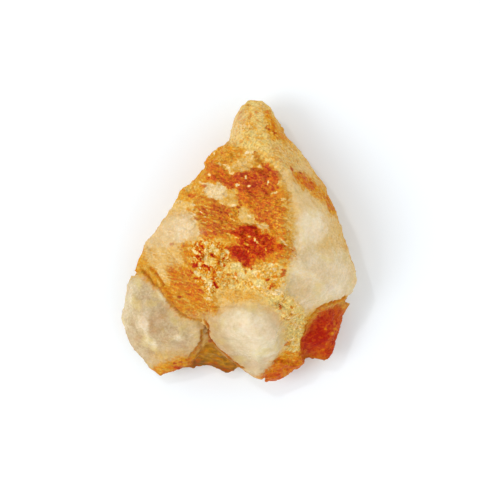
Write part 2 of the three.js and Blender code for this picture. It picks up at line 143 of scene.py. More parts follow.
# Everything about the stone's surface. Places are seen from above, in percent of the stone's width and length
# from its middle, and other measures are in mm. A later zone lies over an earlier one, and what a zone, mark
# or crack doesn't state stays as it was. What they state runs from 0 to 1:
# iron is the feldspar's colour from cream over honey and orange to deep red, and the quartz's from white to
# tan, milk is how much of it is white quartz, yellow a lemon tint and brown a stain, in some zones also
# painted shade, grain is how crumbly it is, rust the iron in the gaps between the grains, speck how much
# small grains differ, streak is how strongly the cleavage shows, chip how rough its breaks are and fleck how
# many pale flakes it has. A shift moves a noise pattern to another place, so that no two patterns are alike.
# Some zones and marks set these numbers to paint highlights and shade; their names say so.
roughStone = {
    "voxel": 0.29 * mm,
    "smoothing": 2,
    "streakSlope": -18,                               # degrees
    "lying": {"under": 0.06, "clear": 0.02},          # what is lower stays flat, and the rest stays above it
    # How far the border of a zone or mark wanders, and how far each small grain pulls it along.
    "wander": [{"span": 1.1, "reach": 0.35}, {"span": 0.45, "reach": 0.22}],
    "zonePull": {"pull": 0.8, "scatter": 0.25},
    "markPull": {"pull": 0.3, "scatter": 0.05},
    "formWander": {"span": 2.0, "reach": 0.4},
    # Low on the steep sides the zones wander far, so that no outline runs straight down.
    "sides": {"span": (7, 7, 4), "reach": 7, "shift": 61.7, "upright": (0.35, 0.05), "height": (9, 5)},
    # Relief. A span of three counts along the streaks, across them and up.
    "specks": {"span": (0.64, 0.34, 0.45), "ragged": 0.5},
    "chips": {"span": (2.6, 1.0, 1.3), "ragged": 0.35, "step": 0.14, "tilt": 0.3},
    "grains": {"span": 0.5, "ragged": 0.45, "rounding": 0.35, "height": 0.05, "uneven": 0.09, "tilt": 0.07,
               "sunk": 0.05, "gap": (0.12, 0.42)},
    "gapPatches": {"span": 1.7, "shift": 31.4, "from": (-0.25, 0.15), "least": 0.4},
    "cleavage": {"spacing": 1.15, "height": 0.14, "ridgeHeight": 0.07, "shown": (-0.25, 0.2)},
    "cleavageNoise": {
        "bend": {"span": (6, 2.5, 3), "reach": 1.4},
        "smallBend": {"span": (2, 1, 1), "reach": 0.5, "shift": 5.1},
        "patches": {"span": (5, 2, 2), "shift": 23.7},
        "ridges": {"span": (2.4, 0.5, 0.9), "shift": 9.1},
    },
    "swells": {
        "broad": {"span": 2.6, "reach": 0.2, "shift": 3.3},
        "small": {"span": 0.95, "reach": 0.09, "shift": 7.7},
        "fine": {"span": 0.45, "reach": 0.05, "shift": 1.9},
    },
    "quietMilk": 0.8,                                 # how much smoother the quartz is
    "base": {"iron": 0.44, "milk": 0.05, "brown": 0.1, "grain": 0.15, "rust": 0.1, "streak": 0.25,
             "fleck": 0.1, "speck": 0.5, "chip": 0.5, "yellow": 0.1},
    # Zones of colour, each with edge as the width of its soft border.
    "zones": [
        {"name": "right flank", "edge": 1.4, "iron": 0.27, "milk": 0.3, "brown": 0.08, "streak": 0.1,
         "grain": 0.15, "speck": 0.5, "chip": 0.4, "yellow": 0.2,
         "outline": [(14, 45.6), (17.7, 39.9), (22.8, 34.7), (27.4, 30.4), (31.2, 25.8), (34.9, 19.8),
                     (39.5, 14.5), (41.6, 8.5), (44.6, 0.4), (47.5, -5.9), (51, -11.9), (50.9, -17.2),
                     (44.6, -20.8), (34.6, -22.3), (28.8, -24.1), (23.9, -27.6), (19.5, -20.3), (21, -7.1),
                     (25.1, 0.4), (23.5, 9), (21.9, 15.6), (17.9, 21.2), (15, 28.2), (12.2, 35.3)]},
        {"name": "blunt tip", "edge": 1.2, "iron": 0.31, "milk": 0.1, "brown": 0.05, "grain": 0.3,
         "streak": 0.05, "speck": 0.9, "chip": 0.3, "fleck": 0.1, "yellow": 0.65,
         "outline": [(-0.3, 53.4), (15.2, 53.4), (17.7, 39.9), (22.4, 35), (27.4, 30.1), (25.6, 27.1),
                     (22.1, 25.5), (17.9, 24.7), (15, 26.4), (9.6, 28.2), (7.6, 31.1), (3.8, 32.5),
                     (0.5, 33.3), (-3.6, 34.5), (-6.2, 36), (-3.7, 44.5)]},
        {"name": "pale left side of the tip", "edge": 1.2, "iron": 0.29, "milk": 0.3, "yellow": 0.3,
         "outline": [(-1.2, 47), (3, 47), (3.9, 42.5), (1.4, 38.3), (-0.3, 34.7), (-3.6, 34.9),
                     (-3.7, 41)]},
        {"name": "orange side of the tip", "edge": 0.8, "iron": 0.44, "milk": 0, "speck": 0.8, "streak": 0.3,
         "yellow": 0.1,
         "outline": [(11, 47), (13.5, 45.9), (15.6, 43.5), (17.3, 40.3), (19, 38.2), (21.9, 35.7),
                     (22.8, 33.6), (19.7, 33.4), (17.2, 35.5), (14.7, 36.1), (12.6, 38.6), (11.4, 41.8)]},
        {"name": "tan below the tip", "edge": 1.6, "iron": 0.33, "milk": 0.15, "brown": 0.1, "yellow": 0.4,
         "outline": [(14.7, 34.7), (21.5, 33.5), (26.5, 29.3), (24.7, 26.3), (18.7, 25.4), (14.6, 28.2)]},
        {"name": "golden slope", "edge": 1.6, "iron": 0.25, "streak": 0.2, "speck": 0.6, "yellow": 0.1,
         "outline": [(-26.3, 15.2), (-20.3, 14.5), (-17.8, 12.3), (-19.5, 9.5), (-24.6, 9.6), (-29.6, 8.9),
                     (-28.8, 12.4)]},
        {"name": "cream slope", "edge": 1.8, "iron": 0.24, "milk": 0.45, "streak": 0.2, "speck": 0.5,
         "yellow": 0,
         "outline": [(-27.9, 10.3), (-22, 11), (-18.7, 9.5), (-17.4, 6.4), (-14.8, 4.3), (-14.8, 1.5),
                     (-19, 0.1), (-23.6, -0.3), (-26.2, -2), (-29.6, -3.4), (-33.9, -2.8), (-40.7, -3.1),
                     (-39.8, 1.1), (-34.7, 6.1), (-30.5, 9.6)]},
        {"name": "bright cream slope", "edge": 1.6, "iron": 0.14, "milk": 0.5,
         "outline": [(-27.1, 7.8), (-22, 8.9), (-19.5, 6.7), (-18.6, 3.2), (-21.9, 1.1), (-26.2, 0.4),
                     (-28.7, 3.2)]},
        {"name": "peach slope", "edge": 1.6, "iron": 0.27, "milk": 0.2, "streak": 0.5, "speck": 0.6,
         "outline": [(-40.7, -1.7), (-33.9, -2.4), (-27.8, -3.1), (-23.6, -0.6), (-22.8, -7.3),
                     (-25.4, -9.1), (-29.6, -9.8), (-29.6, -14), (-33, -12.6), (-36.4, -8.8),
                     (-39.8, -5.2)]},
        {"name": "orange beside the crumbs", "edge": 0.9, "iron": 0.52, "speck": 0.9, "fleck": 0.2,
         "outline": [(-24.1, -0.3), (-20.2, 0.8), (-19, -3.1), (-19.4, -7.3), (-17.7, -10.8),
                     (-20.2, -9.7), (-22.4, -7.3), (-24.1, -3.8)]},
        {"name": "left rim", "edge": 0.7, "iron": 0.43, "streak": 0.3, "speck": 0.6, "brown": 0.28,
         "chip": 0.3,
         "outline": [(-44.9, -9.5), (-42.4, -6.6), (-39.8, -3.1), (-38.1, -5.6), (-36.8, -9.5),
                     (-34.7, -11.9), (-31.7, -14.7), (-28.7, -18.9), (-24.9, -23.5), (-27.1, -23.8),
                     (-30, -20.7), (-33, -17.2), (-37.3, -13.7), (-40.7, -12.3), (-44.3, -11.7)]},
        {"name": "brown end of the left rim", "edge": 0.8, "iron": 0.6, "brown": 0.85,
         "outline": [(-30.4, -19.3), (-27.9, -19.6), (-24.5, -23.5), (-26.2, -24.5), (-29.2, -22.1)]},
        {"name": "light orange foot", "edge": 1, "iron": 0.27, "streak": 0.5, "speck": 0.6,
         "outline": [(-33, -10.1), (-28.8, -9.1), (-27.1, -13.6), (-27.9, -17.1), (-31.7, -14.4)]},
        {"name": "orange foot of the slope", "edge": 1.4, "iron": 0.54, "streak": 0.9, "speck": 0.7,
         "chip": 0.35, "fleck": 0.15,
         "outline": [(-29.6, -9.4), (-26.2, -8.7), (-21.1, -9), (-19, -10.4), (-18.6, -12.5), (-20.3, -14),
                     (-21.1, -16.4), (-24.5, -17.5), (-27.9, -17.1), (-29.2, -13.6)]},
        {"name": "golden band", "edge": 0.8, "iron": 0.48, "streak": 0.6, "speck": 0.7, "brown": 0.26,
         "chip": 0.3,
         "outline": [(-31.7, -14.7), (-27.9, -16.8), (-22.8, -17.1), (-19.9, -19.5), (-22.8, -21.3),
                     (-26.2, -20.7), (-29.6, -18.6)]},
        {"name": "second orange foot", "edge": 1.1, "iron": 0.62, "streak": 0.8, "speck": 0.8, "fleck": 0.15,
         "chip": 0.4,
         "outline": [(-21.6, -15), (-18.2, -13.9), (-15.2, -14.9), (-13.1, -17.6), (-13.6, -19.8),
                     (-16.1, -21.2), (-19.5, -20.6), (-22.4, -18.5)]},
        {"name": "gold below the foot", "edge": 1.4, "iron": 0.5, "brown": 0.3, "streak": 0.8, "speck": 0.7,
         "fleck": 0.2, "chip": 0.4,
         "outline": [(-27.1, -20.7), (-22, -20.3), (-16.9, -21.3), (-11.9, -20.5), (-9, -17.3),
                     (-6.9, -20.4), (-8.1, -24.2), (-12.7, -25.3), (-17.8, -26.2), (-22.9, -25.9),
                     (-25.4, -23.5)]},
        {"name": "tan under the gold", "edge": 1.8, "iron": 0.36, "milk": 0.3, "brown": 0.55, "yellow": 0.2,
         "outline": [(-22.9, -25.6), (-16.9, -25.1), (-11, -24.6), (-10.2, -27), (-13.6, -28.8),
                     (-18.7, -28)]},
        {"name": "golden shoulder edge", "edge": 1, "iron": 0.39, "streak": 0.3, "speck": 0.8,
         "outline": [(-22.9, 20.5), (-18.7, 22.2), (-15.3, 20.1), (-13.6, 17.9), (-13.6, 14.8),
                     (-17, 14.1), (-20.3, 14.1), (-24.1, 14.5), (-24.6, 18)]},
        {"name": "orange shoulder", "edge": 0.7, "iron": 0.44, "streak": 0.4, "fleck": 0.05, "speck": 0.8,
         "chip": 0.8,
         "outline": [(-3.7, 35.6), (0.5, 32.9), (2.2, 31.1), (1.8, 29.4), (-1.1, 28), (-3.2, 27),
                     (-4.5, 24.9), (-6.1, 22.8), (-9.5, 21.1), (-13.6, 21.1), (-16.6, 22.2), (-14.9, 24.3),
                     (-13.7, 26.8), (-12.9, 30.1), (-10.4, 32.8), (-7, 33.8)]},
        {"name": "deep orange shoulder", "edge": 1.2, "iron": 0.6, "speck": 0.8,
         "outline": [(-13.7, 28.6), (-10.3, 29.2), (-7.8, 27), (-5.3, 24.5), (-4, 21.4), (-8.6, 20.7),
                     (-13.2, 21.8)]},
        {"name": "peach patch on the shoulder", "edge": 1.3, "iron": 0.27, "milk": 0.1, "fleck": 0.1,
         "speck": 0.8,
         "outline": [(-3.2, 27), (-1.1, 28), (1.8, 29.4), (3, 31.5), (5.1, 32.2), (7.2, 31.4), (8, 29.3),
                     (7.1, 26.5), (5.5, 24.5), (3, 24.1), (-0.3, 24.1), (-2.8, 25.2)]},
        {"name": "golden olive edge", "edge": 0.7, "iron": 0.54, "brown": 0.6,
         "outline": [(7.2, 31.1), (10, 29.6), (10.4, 27.9), (8, 25.8), (6.7, 27.2), (8, 28.9)]},
        {"name": "orange heart", "edge": 1.4, "iron": 0.62, "streak": 0.5, "fleck": 0.12, "speck": 1.2,
         "chip": 1,
         "outline": [(0.5, 15.7), (3.4, 14.7), (7.1, 15.7), (12.9, 16.4), (17.4, 15.6), (21.1, 14.9),
                     (20.2, 11.5), (21, 9.4), (19.3, 6.6), (21, 3.9), (18.5, 1.5), (14.5, 2.8), (12, 5.9),
                     (8.7, 6.6), (7.1, 8.4), (4.7, 12.2), (2.6, 13.3), (0.5, 12.9)]},
        {"name": "golden edge of the heart", "edge": 2.2, "iron": 0.5,
         "outline": [(13.7, 12.2), (19.4, 13.5), (21.9, 11.5), (21.4, 6.6), (23.5, 3.2), (20.1, 1.8),
                     (16.1, 4.5), (13.6, 7.3)]},
        {"name": "gold right of the heart", "edge": 2.4, "iron": 0.31, "milk": 0.1, "yellow": 0.1,
         "outline": [(19.4, 16.3), (22.7, 15.3), (24.3, 10.1), (25.9, 5.9), (24.3, 1.1), (20.1, 1.8),
                     (18.5, 6.6), (21, 10.8)]},
        {"name": "red belt", "edge": 0.7, "iron": 0.73, "streak": 0.5, "fleck": 0.12, "speck": 1.2, "chip": 1,
         "outline": [(-9.5, 23.9), (-7, 25.3), (-4.9, 23.8), (-3.2, 22.8), (-0.3, 23.8), (2.2, 24.1),
                     (4.7, 24.1), (6.3, 25.5), (10, 25.4), (10, 27.9), (12.9, 27.9), (13.7, 25.4),
                     (16.2, 24.7), (17, 21.6), (15.8, 19.8), (17.4, 18.4), (13.7, 17.4), (12.9, 15.7),
                     (9.6, 16.7), (7.9, 14.6), (4.7, 16), (3.4, 14.3), (0.1, 15), (0.1, 18.2),
                     (-2.8, 18.5), (-5.7, 20), (-9.5, 21.1), (-12.8, 21.4), (-13.2, 22.9)]},
        {"name": "dark core of the belt", "edge": 1.6, "iron": 0.81,
         "outline": [(-2.4, 23.1), (3, 24.1), (7.6, 23.4), (8.4, 20.6), (7.5, 17.8), (4.7, 17.4),
                     (3, 19.2), (0.5, 20.6), (-2.8, 21)]},
        {"name": "cream band by the belt", "edge": 0.6, "iron": 0.55, "fleck": 0.5,
         "outline": [(12.1, 16.7), (15.4, 17.4), (19.9, 17.7), (22.3, 16.3), (19.4, 14.9), (16.1, 14.2),
                     (12.9, 15.7)]},
        {"name": "pale pink patch", "edge": 0.6, "iron": 0.15, "milk": 0.35, "fleck": 0, "speck": 0.8,
         "outline": [(-15.3, 20.8), (-12.8, 20.1), (-11.1, 20.7), (-8.6, 20.3), (-5.3, 19.3), (-4, 17.5),
                     (-5.3, 15.4), (-7.8, 14.7), (-10.3, 15.1), (-12.4, 15.8), (-14.5, 17.9),
                     (-14.1, 19)]},
        {"name": "tan patch", "edge": 1.2, "iron": 0.33, "milk": 0.1, "brown": 0.2, "fleck": 0.1,
         "outline": [(-4.4, 17.9), (-0.3, 17.8), (0.5, 15), (0.1, 12.2), (-2.8, 11.9), (-6.1, 12.6),
                     (-7.8, 14.4), (-5.3, 15.4)]},
        {"name": "speckled left margin", "edge": 0.9, "iron": 0.27, "fleck": 0.6, "speck": 1, "streak": 0.6,
         "outline": [(-20.3, 13.4), (-17, 13), (-17, 10.2), (-17.4, 7.8), (-19.9, 7.4), (-20.3, 10.2)]},
        {"name": "brown streaks", "edge": 1.2, "iron": 0.56, "brown": 0.28, "streak": 1, "fleck": 0.22,
         "speck": 1, "chip": 1,
         "outline": [(-17, 13.4), (-11.9, 13.7), (-9.4, 13.3), (-6.1, 12.3), (-3.2, 11.2), (-0.3, 11.5),
                     (0.5, 9.4), (-1.1, 8.1), (0.5, 6.7), (-1.1, 4.9), (-5.3, 4.9), (-7.8, 4.3),
                     (-11.1, 5), (-14.8, 5.7), (-17.4, 7.4), (-17.8, 10.2)]},
        {"name": "dark brown streak", "edge": 1.2, "iron": 0.82, "brown": 0.45,
         "outline": [(-10.7, 13.3), (-5.3, 12.3), (-3.2, 10.5), (-4.8, 8.4), (-8.6, 9.5), (-10.7, 11.2)]},
        {"name": "streaks over the crumbs", "edge": 1.2, "iron": 0.62, "brown": 0.1, "streak": 1,
         "fleck": 0.35, "speck": 1, "chip": 0.8,
         "outline": [(-16.1, 6), (-11.1, 5.3), (-5.3, 5.3), (0.5, 6.3), (2.2, 4.6), (-0.3, 3.2),
                     (-5.3, 2.2), (-10.2, 1.1), (-14.4, 1.1), (-15.7, 3.6)]},
        {"name": "crumbly zone", "edge": 1.2, "iron": 0.23, "grain": 1, "rust": 0.85, "streak": 0.05,
         "speck": 1, "chip": 0.3, "fleck": 0.2, "milk": 0, "brown": 0, "yellow": 0.35,
         "outline": [(-20.3, 0.4), (-14.8, 1.8), (-10.2, 1.1), (-5.2, -0.6), (-3.2, -3.4), (-2.8, -6.2),
                     (-4.4, -9.3), (-6.9, -12.1), (-7.7, -15.6), (-6.9, -17.7), (-10.2, -18),
                     (-12.7, -20.1), (-13.5, -17), (-16.1, -14.9), (-18.5, -12.8), (-19, -9.4),
                     (-20.3, -5.2)]},
        {"name": "pale crumbs", "edge": 1.6, "iron": 0.26, "grain": 0.6, "rust": 0.55, "streak": 0.05,
         "speck": 1, "chip": 0.3, "milk": 0.05, "brown": 0, "yellow": 0.65,
         "outline": [(-3.6, -6.2), (2.2, -7.5), (7.9, -6.5), (13.6, -7.1), (19.3, -7.1), (21.4, -10.6),
                     (20.2, -16.1), (16.1, -17.5), (12, -18.5), (7.1, -17.2), (0.5, -16.9), (-6.9, -17.3),
                     (-8.2, -13.5), (-6.9, -9.3)]},
        {"name": "pale patch in the middle", "edge": 1, "iron": 0.27, "milk": 0.1, "fleck": 0.1,
         "streak": 0.2, "brown": 0.2, "yellow": 0.2,
         "outline": [(0.5, 11.5), (3, 11.9), (4.7, 10.8), (6.7, 9.4), (7.5, 7.7), (6.3, 6), (3, 5.6),
                     (0.9, 7), (0.1, 9.4)]},
        {"name": "pale patch by the red heart", "edge": 0.6, "iron": 0.16, "fleck": 0.1,
         "outline": [(7.1, 6.3), (9.6, 7), (12, 5.9), (12.8, 4.6), (10, 3.5), (7.5, 4.6)]},
        {"name": "orange fan", "edge": 1.6, "iron": 0.46, "streak": 0.6, "fleck": 0.1, "speck": 1,
         "grain": 0.1, "rust": 0,
         "outline": [(9.6, 3.5), (14.5, 3.9), (19.3, 1.5), (22.2, -1.3), (26, -2.7), (26.4, -5.4),
                     (23.5, -7.2), (18.5, -7.5), (12.8, -7.5), (7.9, -6.8), (10.4, -4.4)]},
        {"name": "orange brown foot of the red", "edge": 1.6, "iron": 0.6, "brown": 0.2,
         "outline": [(7.1, -3), (12, -1.6), (17.7, -2.3), (18.5, -5.1), (13.6, -7.1), (7.1, -6.8)]},
        {"name": "deep red heart", "edge": 1, "iron": 0.84, "streak": 0.4, "fleck": 0.08, "grain": 0.1,
         "speck": 1.2, "chip": 1, "rust": 0, "brown": 0.05, "milk": 0,
         "outline": [(-4, 3.9), (0.5, 5.3), (3.4, 6), (6.7, 5.6), (8.3, 4.6), (9.6, 3.2), (12.4, 3.2),
                     (14.4, 1.1), (16.5, -0.3), (18.5, -1.6), (16.9, -2.7), (12.8, -3.4), (10.8, -5.1),
                     (7.9, -5.8), (5.5, -7.2), (4.6, -7.9), (2.6, -7.9), (0.9, -6.8), (-0.7, -5.8),
                     (-3.2, -5.8), (-4, -3.4), (-6.5, -2.7), (-4.4, -1.7), (-2.8, -0.6), (-0.3, -1),
                     (0.1, 0.4), (-1.1, 1.5), (-4, 2.9)]},
        {"name": "crimson floor of the heart", "edge": 1.6, "iron": 0.95,
         "outline": [(-3.6, -2), (-0.3, -1.3), (3, -2), (4.6, -4.4), (3.8, -7.5), (1.4, -6.5),
                     (-1.1, -5.5)]},
        {"name": "pink face", "edge": 1.8, "iron": 0.22, "milk": 0.35, "speck": 0.3, "streak": 0.05,
         "yellow": 0,
         "outline": [(21.5, 19.8), (25.4, 20.6), (29.2, 17.9), (32.1, 14.4), (33.6, 10.2), (30.1, 7.3),
                     (25.9, 6.6), (23.5, 10.1), (21.9, 14.2)]},
        {"name": "white face", "edge": 2.2, "iron": 0.07, "milk": 0.72, "speck": 0.2, "streak": 0.05,
         "grain": 0.05, "chip": 0.3, "fleck": 0, "brown": 0, "yellow": 0,
         "outline": [(26, 9.4), (30.2, 11.5), (34.5, 10.2), (36.6, 6.7), (36.1, 3.2), (33.5, 0.1),
                     (29.3, -2.3), (25.1, -3), (23.5, -0.6), (24.7, 3.2), (23.9, 6.6)]},
        {"name": "right lobe", "edge": 2.2, "iron": 0.16, "milk": 0.72, "brown": 0.08, "streak": 0.05,
         "speck": 0.4, "grain": 0.1, "rust": 0, "chip": 0.3, "fleck": 0, "yellow": 0.1,
         "outline": [(25.1, -3.4), (30.2, -1.7), (35.6, -3.1), (42.2, -3.1), (46.6, -7.3), (51.8, -11.9),
                     (51.8, -17.2), (45.1, -20.8), (34.6, -22.3), (28, -24.4), (23.6, -21.1),
                     (19.4, -16.8), (20.6, -11.3), (22.6, -6.5)]},
        {"name": "tan part of the lobe", "edge": 2.2, "iron": 0.26, "brown": 0.22,
         "outline": [(20.2, -12), (25.2, -12.7), (29.4, -14.8), (28.6, -19.7), (24.4, -20.4),
                     (20.3, -16.9)]},
        {"name": "yellow edge of the lobe", "edge": 1.2, "iron": 0.22, "milk": 0.5, "yellow": 0.6,
         "outline": [(42.7, -2.4), (46.7, -4.9), (50.1, -9.5), (50.5, -15.8), (47.5, -15.1), (46.6, -9.4),
                     (43, -5.9)]},
        {"name": "right streak", "edge": 1.1, "iron": 0.46, "streak": 0.5, "speck": 0.8, "milk": 0,
         "yellow": 0,
         "outline": [(21.2, 26.2), (24.6, 24.2), (27.2, 24.6), (30.2, 22.6), (33.6, 19.4), (38.7, 16.3),
                     (40.8, 12.8), (41.6, 9.6), (38.5, 9.5), (36.4, 13.1), (32.9, 14.4), (29.1, 17.2),
                     (25.4, 19.9), (22.8, 22)]},
        {"name": "red of the right streak", "edge": 1.2, "iron": 0.66,
         "outline": [(23.7, 23.1), (27.2, 23.9), (30.2, 21.5), (32.7, 18.7), (30.4, 17.5), (26.7, 20.3)]},
        {"name": "right rim", "edge": 0.7, "iron": 0.36, "brown": 0.1,
         "outline": [(36.1, 15.2), (40, 13.8), (41.6, 9.6), (38.5, 9.5), (37.3, 12.4)]},
        {"name": "yellow strip", "edge": 1.4, "iron": 0.22, "grain": 0.5, "rust": 0.4, "streak": 0.1,
         "milk": 0.05, "speck": 1.2, "brown": 0, "chip": 0.3, "yellow": 0.7,
         "outline": [(11.2, -16.1), (18.6, -16.8), (23.6, -20.4), (27.5, -23), (28.1, -26.9),
                     (26.5, -31.2), (26.1, -36.6), (23.6, -38.7), (18.5, -38.9), (17.6, -34.6),
                     (18.4, -29.3), (16.6, -25.2), (12.9, -22.7), (9.6, -19.9)]},
        {"name": "peach band", "edge": 1.6, "iron": 0.28, "milk": 0.15, "grain": 0.15, "rust": 0,
         "streak": 0.4, "speck": 0.5, "brown": 0, "yellow": 0.2,
         "outline": [(-8.6, -17.3), (-1.1, -16.9), (5.5, -17.2), (11.2, -19.2), (13.7, -22.4),
                     (10.4, -23.7), (4.6, -23), (-1.9, -22.7), (-6.9, -23.5), (-9.4, -21.1)]},
        {"name": "orange streak of the band", "edge": 1.4, "iron": 0.46,
         "outline": [(-6.1, -18.7), (-1.1, -17.6), (4.6, -17.9), (7.9, -19.6), (3, -19.9), (-2.8, -19.7)]},
        {"name": "middle lobe", "edge": 2.4, "iron": 0.36, "milk": 0.9, "grain": 0, "rust": 0, "streak": 0.05,
         "speck": 0.15, "chip": 0.15, "fleck": 0, "brown": 0.08, "yellow": 0,
         "outline": [(-6.9, -24.2), (-1.1, -22.7), (5.4, -22.3), (11.2, -23.1), (15.7, -24.8),
                     (17.9, -28.9), (18.4, -34.6), (17.6, -38.2), (14.7, -41.1), (12.7, -44.7),
                     (10.6, -47.8), (5.6, -47.7), (1.4, -44.8), (-1.1, -43.3), (-4.5, -40.7),
                     (-7.4, -38.8), (-10.8, -35.9), (-12.9, -32.7), (-13.1, -29.5), (-11, -26.3)]},
        # The middle lobe's own white and tan quartz, with a painted highlight on its top and painted shade
        # down its lower left side.
        {"name": "white top of the middle lobe with a painted highlight", "edge": 3.4, "iron": 0.16, "milk": 0.95, "brown": 0,
         "speck": 0.1,
         "outline": [(-4.4, -24.5), (3, -23.4), (9.6, -24.8), (14.5, -28.6), (15.9, -35.2), (13, -39.8),
                     (8, -40.8), (3, -37.9), (-1.1, -33.6), (-4.4, -29.3)]},
        {"name": "tan side of the middle lobe with painted shade", "edge": 2.4, "iron": 0.47, "milk": 0.85, "brown": 0.14,
         "outline": [(-12.7, -30.2), (-9.8, -27.3), (-6.1, -30.8), (-2.8, -35.8), (1.4, -39.9),
                     (6.4, -43.2), (4.7, -45.5), (-1.1, -43.3), (-7, -39.1), (-12.1, -34.8)]},
        {"name": "orange foot", "edge": 0.9, "iron": 0.62, "streak": 0.4, "grain": 0.15, "milk": 0,
         "speck": 0.8, "chip": 0.7, "fleck": 0.2, "brown": 0.05,
         "outline": [(18.1, -38.9), (20.6, -38.2), (24.4, -38.7), (27, -39.5), (30.5, -41.1),
                     (27.5, -43.9), (22.5, -46.5), (19.1, -48.6), (14.9, -50.4), (9.8, -49.1),
                     (8.9, -46.8), (12.7, -44.4), (14.3, -41.4)]},
        {"name": "gold top of the foot", "edge": 1.2, "iron": 0.42, "fleck": 0.3,
         "outline": [(16.8, -39.6), (20.6, -38.2), (25.3, -39.1), (26.6, -40.9), (23.2, -42),
                     (19, -41.1)]},
        {"name": "red of the foot", "edge": 0.9, "iron": 0.72,
         "outline": [(10.6, -46.9), (14.8, -45.9), (19.1, -46.4), (18.3, -48.6), (14.1, -50),
                     (10.7, -49.3)]},
        # The recess is painted dark brown: partly brown stain, partly painted shade where the hollow lies in
        # shadow.
        {"name": "brown recess with painted shade", "edge": 1, "iron": 0.47, "brown": 1.25, "milk": 0, "grain": 0.3, "rust": 0.3,
         "speck": 0.35, "chip": 0.6, "streak": 0.1, "fleck": 0, "yellow": 0,
         "outline": [(-12.8, -31.7), (-10.8, -35.5), (-7.4, -38.2), (-4.5, -40.3), (-1.1, -42.9),
                     (2.2, -44.4), (0.1, -46.6), (-2.9, -48.8), (-6.3, -47.4), (-10.5, -46.7),
                     (-14.7, -45.6), (-19, -44.5), (-22, -45.2), (-20.9, -41.4), (-18, -38.1),
                     (-15.4, -35.2), (-14.9, -31.2), (-15.7, -27.9), (-13.6, -27.8)]},
        {"name": "gold top of the recess", "edge": 1.4, "iron": 0.2, "brown": 0.15,
         "outline": [(-15.7, -27.6), (-13.1, -28.1), (-11.9, -31.7), (-11.2, -35.2), (-14.6, -35.6),
                     (-15.3, -31.9)]},
        {"name": "red brown of the recess with painted shade", "edge": 1.4, "iron": 0.55, "brown": 0.9,
         "outline": [(-19.2, -38.1), (-14.6, -37.4), (-13, -40.7), (-16.4, -42.6), (-20.5, -42.1)]},
        {"name": "lower edge of the recess in painted shade", "edge": 1, "iron": 0.8, "brown": 1.5,
         "outline": [(-21.4, -42.5), (-14.7, -43.3), (-8.8, -44.4), (-3.7, -45.9), (-0.3, -46.3),
                     (-2.9, -49.6), (-10.5, -47.8), (-16.4, -46.3), (-22.4, -45.6)]},
        {"name": "left lobe", "edge": 1.4, "iron": 0.45, "milk": 0.92, "brown": 0.05, "grain": 0.12,
         "rust": 0, "streak": 0.05, "fleck": 0, "speck": 0.5, "chip": 0.3, "yellow": 0,
         "outline": [(-44.6, -12), (-40.7, -12.7), (-37.3, -14.8), (-33.8, -17.2), (-31.3, -20.7),
                     (-27.9, -23.5), (-24.5, -26.3), (-20.3, -27.7), (-16.1, -27.9), (-14.5, -31.2),
                     (-15.4, -34.9), (-18.4, -37.7), (-21.3, -39.9), (-25.5, -39.5), (-29.7, -40.9),
                     (-34.1, -44), (-37.6, -45.9), (-42.6, -42.3), (-47.7, -38.7), (-51.9, -31.6),
                     (-51.8, -20.9), (-47.6, -14.5)]},
        {"name": "tan of the left lobe", "edge": 2.4, "iron": 0.48, "brown": 0.1,
         "outline": [(-38, -22.5), (-31.3, -21.8), (-27.5, -24.9), (-27.9, -31.2), (-32.1, -34.4),
                     (-37.2, -32.7), (-38.8, -27.1)]},
        # Partly the quartz's own paler colour, partly a painted highlight along the rim that faces the light.
        {"name": "pale rim of the left lobe with a painted highlight", "edge": 1.6, "iron": 0.32, "brown": 0, "milk": 1,
         "outline": [(-44.1, -12.3), (-40.7, -13.4), (-42.3, -17.9), (-44.8, -24.3), (-46.7, -31.5),
                     (-50.2, -31.6), (-50.9, -20.9), (-47.6, -15.2)]},
        {"name": "gold foot of the left lobe", "edge": 2.2, "iron": 0.36, "milk": 0.5, "brown": 0.2,
         "yellow": 0.2,
         "outline": [(-37.4, -40), (-30.5, -38), (-22.1, -36.9), (-21.3, -40.2), (-28.9, -41.3),
                     (-35.8, -43.6)]},
        # The hem's own orange, with brown added as painted shade along the lobe's lower edge.
        {"name": "orange hem of the left lobe with painted shade", "edge": 1.6, "iron": 0.48, "milk": 0.05, "brown": 0.25,
         "grain": 0.3, "rust": 0.3, "speck": 0.8,
         "outline": [(-35.9, -45.1), (-30.6, -42.8), (-26.4, -41.3), (-22.2, -39.9), (-19.7, -41.4),
                     (-20.7, -44.5), (-24, -46.2), (-28.3, -47.6), (-32.5, -49.8), (-37.6, -47.3)]},
        {"name": "red corner", "edge": 0.4, "iron": 0.87, "milk": 0, "brown": 0.1, "grain": 0, "rust": 0,
         "streak": 0.2, "fleck": 0.05, "speck": 0.6, "chip": 0.5,
         "outline": [(44.9, -18.9), (48.1, -22.6), (46.9, -26.5), (45.3, -30.8), (44, -35.1),
                     (41.5, -38.6), (39.4, -44), (33.5, -43.6), (29.2, -42.2), (27, -40.2), (26.1, -36.9),
                     (26.9, -33), (28.1, -29.5), (30.6, -26.2), (33.8, -23.4), (38.9, -22),
                     (42.3, -20.7)]},
        {"name": "brown rim of the red corner", "edge": 1.3, "iron": 0.42, "brown": 0.35, "milk": 0.15,
         "outline": [(26.9, -32.7), (27.7, -28.4), (31, -25.2), (35.1, -22.7), (40.6, -21.4),
                     (44.9, -19.3), (47.7, -22.6), (45.6, -24.4), (41.6, -22.8), (37.2, -23.8),
                     (33.1, -25.9), (29.8, -29.1), (28.2, -32.7)]},
        {"name": "crimson of the red corner", "edge": 1.8, "iron": 0.95, "brown": 0,
         "outline": [(28.2, -32.7), (31.5, -30.6), (34.8, -27), (38.7, -27.8), (39.6, -32.1),
                     (37.5, -37.1), (32.5, -37.4), (27.8, -36.3)]},
        {"name": "orange edge of the red corner", "edge": 0.8, "iron": 0.76, "brown": 0.15,
